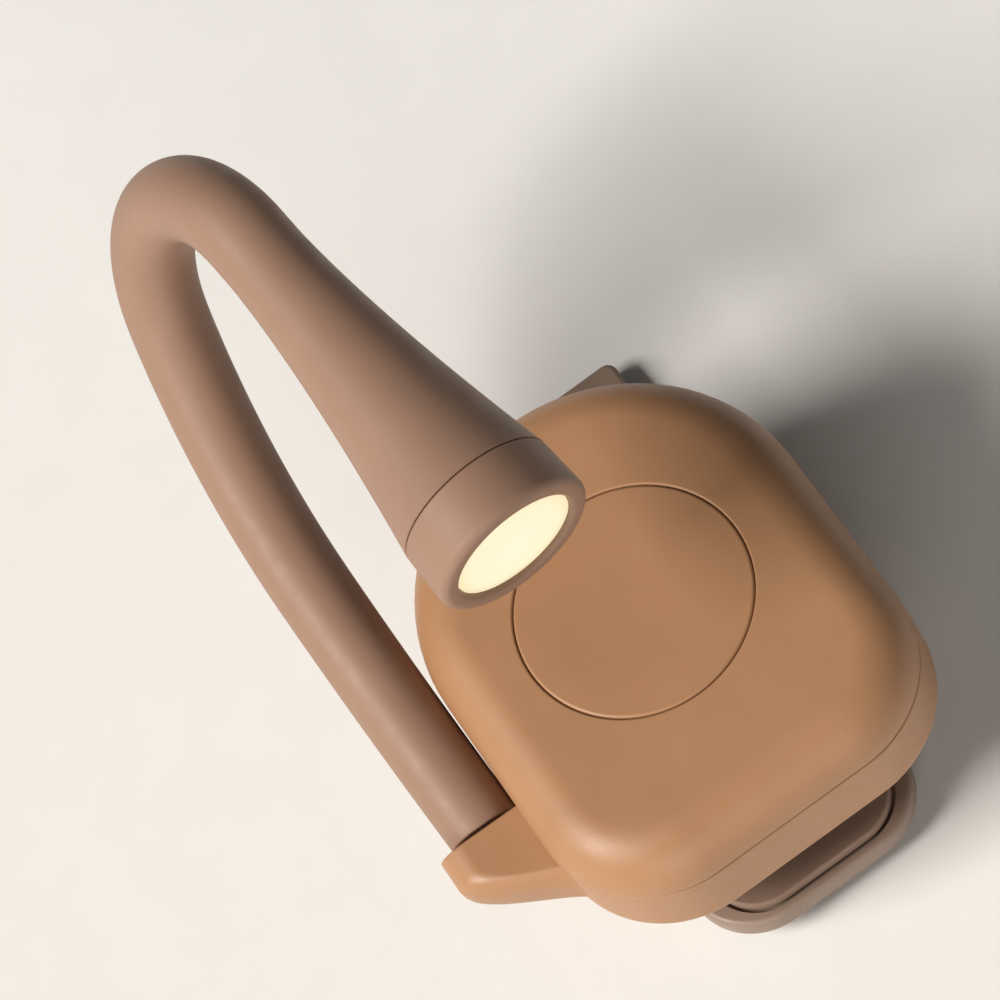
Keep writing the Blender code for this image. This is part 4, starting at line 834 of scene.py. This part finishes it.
def make_screws():
    """Three pan-head screws with crossed recesses, each turned to an angle of its own."""
    low = SCREW_SEAT_Z - GAP - SCREW_HEAD_THICKNESS
    edge = SCREW_HEAD_THICKNESS / 2
    profile = [(0.0, low)] + arc((SCREW_HEAD_RADIUS - edge, low + edge), edge, 270, 360) + [
        (SCREW_HEAD_RADIUS, low + SCREW_HEAD_THICKNESS), (SCREW_RADIUS, low + SCREW_HEAD_THICKNESS),
        (SCREW_RADIUS, FLOOR_Z + WALL), (0.0, FLOOR_Z + WALL),
    ]
    half, reach = RECESS_WIDTH / 2, RECESS_REACH
    for number, (x, y) in enumerate(SCREWS, start=1):
        screw = placed(f"cross_screw_{number}", lathe(profile, SMALL_TURN_STEPS))
        slots = [
            block((-reach, -half, low - OVERRUN), (reach, half, low + edge)),
            block((-half, -reach, low - OVERRUN), (half, reach, low + edge)),
        ]
        combine(screw, "DIFFERENCE", *slots)
        screw.location = (x, y, 0.0)
        screw.rotation_euler.z = number
        show(screw, steel, "housing", "steel", f"housing_screw_{number}")


def make_socket():
    """The charging socket: a drawn steel shell, a black blade and its contacts."""
    low_y, high_y = SOCKET_Y
    back_y = low_y + SOCKET_BACK
    outer = (SOCKET_HALF_WIDTH, SOCKET_HALF_HEIGHT)
    inner = (SOCKET_HALF_WIDTH - SOCKET_WALL, SOCKET_HALF_HEIGHT - SOCKET_WALL)
    shell = loft([
        slot_ring(*outer, low_y), slot_ring(*outer, high_y),
        slot_ring(*inner, high_y), slot_ring(*inner, back_y),
    ])
    show(placed("socket_shell", shell), steel, "housing", "steel", "charging_socket")
    blade_y = high_y - BLADE_SETBACK
    blade = placed("socket_tongue", block(
        (-BLADE_HALF_WIDTH, back_y, SOCKET_Z - BLADE_HALF_HEIGHT),
        (BLADE_HALF_WIDTH, blade_y, SOCKET_Z + BLADE_HALF_HEIGHT),
    ))
    soften(blade, BLADE_ROUND)
    show(blade, socket_black, "housing", "black_plastic")
    pitch = 2 * BLADE_HALF_WIDTH / (CONTACTS + 1)
    size = Matrix.Diagonal((pitch * CONTACT_SHARE, CONTACT_LENGTH, CONTACT_HEIGHT, 1.0))
    bm = bmesh.new()
    for number in range(1, CONTACTS + 1):
        x = number * pitch - BLADE_HALF_WIDTH
        for side in (-1, 1):
            z = SOCKET_Z + side * BLADE_HALF_HEIGHT
            place = Matrix.Translation((x, blade_y - CONTACT_SETBACK, z))
            bmesh.ops.create_cube(bm, size=1.0, matrix=place @ size)
    show(placed("socket_contacts", closed_mesh(bm)), contact_gold, "housing", "steel")


# Neck and head

LEG_DIRECTION = Vector((
    math.cos(NECK_CLIMB) * math.sin(NECK_HEADING),
    math.cos(NECK_CLIMB) * math.cos(NECK_HEADING),
    math.sin(NECK_CLIMB),
))
LEG_SIDE = LEG_DIRECTION.cross(Vector((0, 0, 1))).normalized()
LEG_UP = LEG_SIDE.cross(LEG_DIRECTION)
CURL_DIRECTION = LEG_UP * math.cos(NECK_LEAN) + LEG_SIDE * math.sin(NECK_LEAN)
LOOP_NORMAL = LEG_DIRECTION.cross(CURL_DIRECTION)

PIVOTS = [FIRST_PIVOT + LINK_LENGTH * number for number in range(NECK_LINKS + 1)]
SKIN_JOINS = [GAP] + [pivot + LINK_LENGTH / 2 for pivot in PIVOTS]


def neck_plane(distance):
    """(along, across, turn) in the neck's plane at a distance from the lug's mouth."""
    along, across, turn = min(distance, LEG_LENGTH), 0.0, 0.0
    left = max(0.0, distance - LEG_LENGTH)
    for radius, full_turn in ((SWEEP_RADIUS, SWEEP_TURN), (LOOP_RADIUS, LOOP_TURN)):
        step = min(left / radius, full_turn)
        along += radius * (math.sin(turn + step) - math.sin(turn))
        across += radius * (math.cos(turn) - math.cos(turn + step))
        turn += step
        left = max(0.0, left - radius * step)
    return along + left * math.cos(turn), across + left * math.sin(turn), turn


def neck_place(distance):
    """The point of the neck's centre line at a distance from the lug's mouth."""
    along, across, _ = neck_plane(distance)
    return NECK_ROOT + LEG_DIRECTION * along + CURL_DIRECTION * across


def neck_heading(distance):
    """The direction of the neck's centre line there."""
    turn = neck_plane(distance)[2]
    return LEG_DIRECTION * math.cos(turn) + CURL_DIRECTION * math.sin(turn)


def skin_radius(distance):
    """The moulding's radius: a faint taper along the neck, then the bell as it flares."""
    neck_share = min(1.0, distance / NECK_LENGTH)
    neck = NECK_ROOT_RADIUS + (NECK_LOOP_RADIUS - NECK_ROOT_RADIUS) * neck_share
    back = HEAD_LENGTH - (distance - NECK_LENGTH)
    flare = max(0.0, BELL_LENGTH - back) / (BELL_LENGTH - SEAM)
    return neck + (BELL_RADIUS - neck) * flare ** BELL_CURVE


def skin_ring(distance, radius=None):
    """One ring of the moulding, square to its centre line; its root lies closer to the housing."""
    heading = neck_heading(distance)
    across = heading.cross(LOOP_NORMAL)
    snug = NECK_SNUG * (1 - min(1.0, distance / LEG_LENGTH)) ** 2
    centre = neck_place(distance) + Vector((snug, 0.0, 0.0))
    radius = skin_radius(distance) if radius is None else radius
    points = []
    for side in range(NECK_SIDES):
        angle = 2 * math.pi * side / NECK_SIDES
        points.append(centre + (LOOP_NORMAL * math.cos(angle) + across * math.sin(angle)) * radius)
    return points


def skin_rings(start, end):
    """Rings, close together at both ends so that neighbours meet without a crease."""
    count = round((end - start) / RING_PITCH)
    inner = [start + (end - start) * step / count for step in range(1, count)]
    distances = [start, start + JOIN_PITCH] + inner + [end - JOIN_PITCH, end]
    return [skin_ring(distance) for distance in distances]


def make_neck():
    """The moulding over each joint, from the middle of one link to the middle of the next."""
    for number, pivot in enumerate(PIVOTS, start=1):
        start, end = SKIN_JOINS[number - 1], SKIN_JOINS[number]
        nodes = [f"neck_sleeve_{number}"] if number <= NECK_LINKS else []
        rings = skin_rings(start, end)
        if number == 1:
            nodes.append("neck_collar")
            edge = SEAM_ROUND
            rounded = arc((NECK_ROOT_RADIUS - edge, start + edge), edge, 270, 360, RIM_STEPS)
            rings = [skin_ring(distance, radius) for radius, distance in rounded]
            rings += skin_rings(start + edge, end)[1:]
        skin = placed(f"neck_skin_{number}", loft(rings))
        show(skin, silicone, None, "neck_silicone", *nodes)
        place, heading = neck_place(pivot), neck_heading(pivot)
        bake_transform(skin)


def make_bell():
    """The head's bell, from the last joint's skin to the seam, with a rolled edge."""
    end = NECK_LENGTH + HEAD_LENGTH - SEAM
    rings = skin_rings(SKIN_JOINS[-1], end - SEAM_ROUND)
    centre = (skin_radius(end) - SEAM_ROUND, end - SEAM_ROUND)
    for radius, distance in arc(centre, SEAM_ROUND, 0, 90, RIM_STEPS)[1:]:
        rings.append(skin_ring(distance, radius))
    rings += [skin_ring(end, BEZEL_BORE), skin_ring(end - BELL_MOUTH_DEPTH, BEZEL_BORE)]
    show(placed("head_bell", loft(rings)), silicone, "head", "neck_silicone", "head_sleeve")


HEAD_FRAME = (
    Matrix.Translation(neck_place(NECK_LENGTH + HEAD_LENGTH))
    @ (-neck_heading(NECK_LENGTH)).to_track_quat("Z", "Y").to_matrix().to_4x4()
)


def make_bezel():
    """The ring on the bell's mouth, with a rolled front edge and a lip over the lens."""
    centre = (BELL_RADIUS - SEAM_ROUND, BEZEL_LENGTH - SEAM_ROUND)
    profile = arc(centre, SEAM_ROUND, 90, 0, RIM_STEPS)
    profile += arc((BEZEL_RADIUS - BEZEL_ROUND, BEZEL_ROUND), BEZEL_ROUND, 0, -90, BEZEL_STEPS)
    inner = (BEZEL_RADIUS - BEZEL_ROUND - LENS_APERTURE) / 2
    profile += arc((LENS_APERTURE + inner, inner), inner, 270, 180)
    profile += [(LENS_APERTURE, BEZEL_LIP), (BEZEL_BORE, BEZEL_LIP), (BEZEL_BORE, BEZEL_LENGTH)]
    bezel = placed("head_ring", lathe(profile, closed=True))
    bezel.matrix_world = HEAD_FRAME
    show(bezel, silicone, "head", "neck_silicone", "bezel_ring")


def make_lens():
    """The crowned round lens behind the ring's lip."""
    boss = LENS_APERTURE - LENS_PLAY
    flange_front = BEZEL_LIP + GAP
    profile = dished(boss, LENS_SETBACK, LENS_CROWN, power=1) + [
        (boss, flange_front), (BEZEL_BORE - GAP, flange_front),
        (BEZEL_BORE - GAP, flange_front + LENS_FLANGE), (0.0, flange_front + LENS_FLANGE),
    ]
    lens = placed("lens_window", lathe(profile))
    lens.matrix_world = HEAD_FRAME
    show(lens, lens_material(), "head", "lens_plastic", "lens")


def dress_cad():
    """Procedural finishes for the CAD pieces that stay: those inside the housing, neck and head."""
    board = moulded(
        "board_green", (0.03, 0.2, 0.09), roughness=0.35, layers=((0.3 * MM, 0.004 * MM),),
        amount=0.15,
    )
    black = moulded(
        "part_black", (0.02, 0.02, 0.02), roughness=0.5, layers=((0.1 * MM, 0.003 * MM),),
        amount=0.2,
    )
    foil = moulded(
        "cell_foil", (0.6, 0.61, 0.63), roughness=0.3, layers=((0.8 * MM, 0.02 * MM),),
        Metallic=1.0,
    )
    wire = moulded(
        "core_wire", (0.5, 0.49, 0.47), roughness=0.35, layers=((0.1 * MM, 0.002 * MM),),
        Metallic=1.0,
    )
    mirror = moulded(
        "reflector_bright", (0.9, 0.9, 0.88), roughness=0.08, layers=((0.5 * MM, 0.001 * MM),),
        Metallic=1.0,
    )
    gel_grain = ((0.1 * MM, 0.002 * MM),)
    warm = moulded("led_warm_gel", (0.95, 0.65, 0.15), roughness=0.35, layers=gel_grain)
    cool = moulded("led_cool_gel", (0.92, 0.85, 0.4), roughness=0.35, layers=gel_grain)
    links = [f"neck_core_{number}" for number in range(1, NECK_LINKS + 1)]
    for material, *nodes in (
        (board, "main_board", "led_board"),
        (black, "charge_chip", "driver_coil", "switch_plunger", "head_cup"),
        (steel, "tact_switch", "head_ferrule"),
        (foil, "battery_cell"),
        (mirror, "reflector"),
        (warm, "led_warm"),
        (cool, "led_cool"),
        (wire, "collar_core", *links, "head_core"),
    ):
        for node in nodes:
            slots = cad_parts[node].data.materials
            slots.clear()
            slots.append(material)


# Stage; a light is (name, place, size, power, colour)

CAMERA_ELEVATION = math.radians(63)
CAMERA_ROLL = math.radians(36.87)
CAMERA_DISTANCE = 450 * MM
CAMERA_TARGET = Vector((0.0, 16.4, 7.0)) * MM
CAMERA_LENS = 200.0
CAMERA_CLIP = (0.01, 10.0)

LIGHTS = (
    ("key_light", (-4.5, 0.0, 4.32), 2.7, 486.0, (1.0, 0.95, 0.88)),
    ("fill_light", (-0.8, -2.2, 0.9), 1.4, 26.0, (1.0, 0.93, 0.84)),
)
LIGHT_TARGET = Vector((0, 0.015, 0.01))
SURROUNDINGS_COLOUR = (0.95, 0.93, 0.9, 1.0)
SURROUNDINGS_STRENGTH = 0.08
STAGE_HALF_SIZE = 6.0
STAGE_COLOUR = (0.85, 0.85, 0.845)
STAGE_GRAIN = ((2 * MM, 0.01 * MM),)


def make_camera():
    """The photograph's viewing angle: from the jaw's side, high up, with the camera rolled."""
    low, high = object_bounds()
    back = Vector((0.0, -math.cos(CAMERA_ELEVATION), math.sin(CAMERA_ELEVATION)))
    place = CAMERA_TARGET + back * CAMERA_DISTANCE
    turn = ((low + high) / 2 - place).to_track_quat("-Z", "Y").to_matrix().to_4x4()
    roll = Matrix.Rotation(-CAMERA_ROLL, 4, "Z")
    data = bpy.data.cameras.new("camera")
    data.lens = CAMERA_LENS
    data.clip_start, data.clip_end = CAMERA_CLIP
    camera = placed("camera", data)
    camera.matrix_world = Matrix.Translation(place) @ turn @ roll
    bpy.context.scene.camera = camera


def area_light(name, place, size, power, colour):
    """A square soft light that faces the object."""
    data = bpy.data.lights.new(name, "AREA")
    data.size = size
    data.energy = power
    data.color = colour
    light = placed(name, data)
    light.location = place
    light.rotation_mode = "QUATERNION"
    light.rotation_quaternion = (Vector(place) - LIGHT_TARGET).to_track_quat("Z", "Y")


def make_stage():
    """A plain pale floor, a large soft key light on the left, a weak fill, pale surroundings."""
    low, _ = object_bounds()
    bm = bmesh.new()
    bmesh.ops.create_grid(bm, x_segments=1, y_segments=1, size=STAGE_HALF_SIZE)
    mesh = bpy.data.meshes.new("floor")
    bm.to_mesh(mesh)
    bm.free()
    floor = placed("floor", mesh)
    floor.location.z = low.z
    floor.data.materials.append(moulded(
        "floor_paper", STAGE_COLOUR, roughness=0.8, layers=STAGE_GRAIN, amount=0.01,
        Specular_IOR_Level=0.0,
    ))
    for light in LIGHTS:
        area_light(*light)
    world = bpy.data.worlds.new("surroundings")
    world.use_nodes = True
    background = world.node_tree.nodes["Background"]
    background.inputs["Color"].default_value = SURROUNDINGS_COLOUR
    background.inputs["Strength"].default_value = SURROUNDINGS_STRENGTH
    bpy.context.scene.world = world
    bpy.context.scene.view_settings.view_transform = "Standard"


make_cover()
make_key()
make_tray()
make_tray_tongue()
make_pad("front_grip_pad", "front_jaw_pad", "housing", FRONT_GRIP_Z, 1)
make_pad("rear_grip_pad", "rear_jaw_pad", "rear_lever", REAR_GRIP_Z, -1)
make_pin()
make_lever()
make_spring()
make_screws()
make_socket()
make_neck()
make_bell()
make_bezel()
make_lens()
dress_cad()
make_camera()
make_stage()
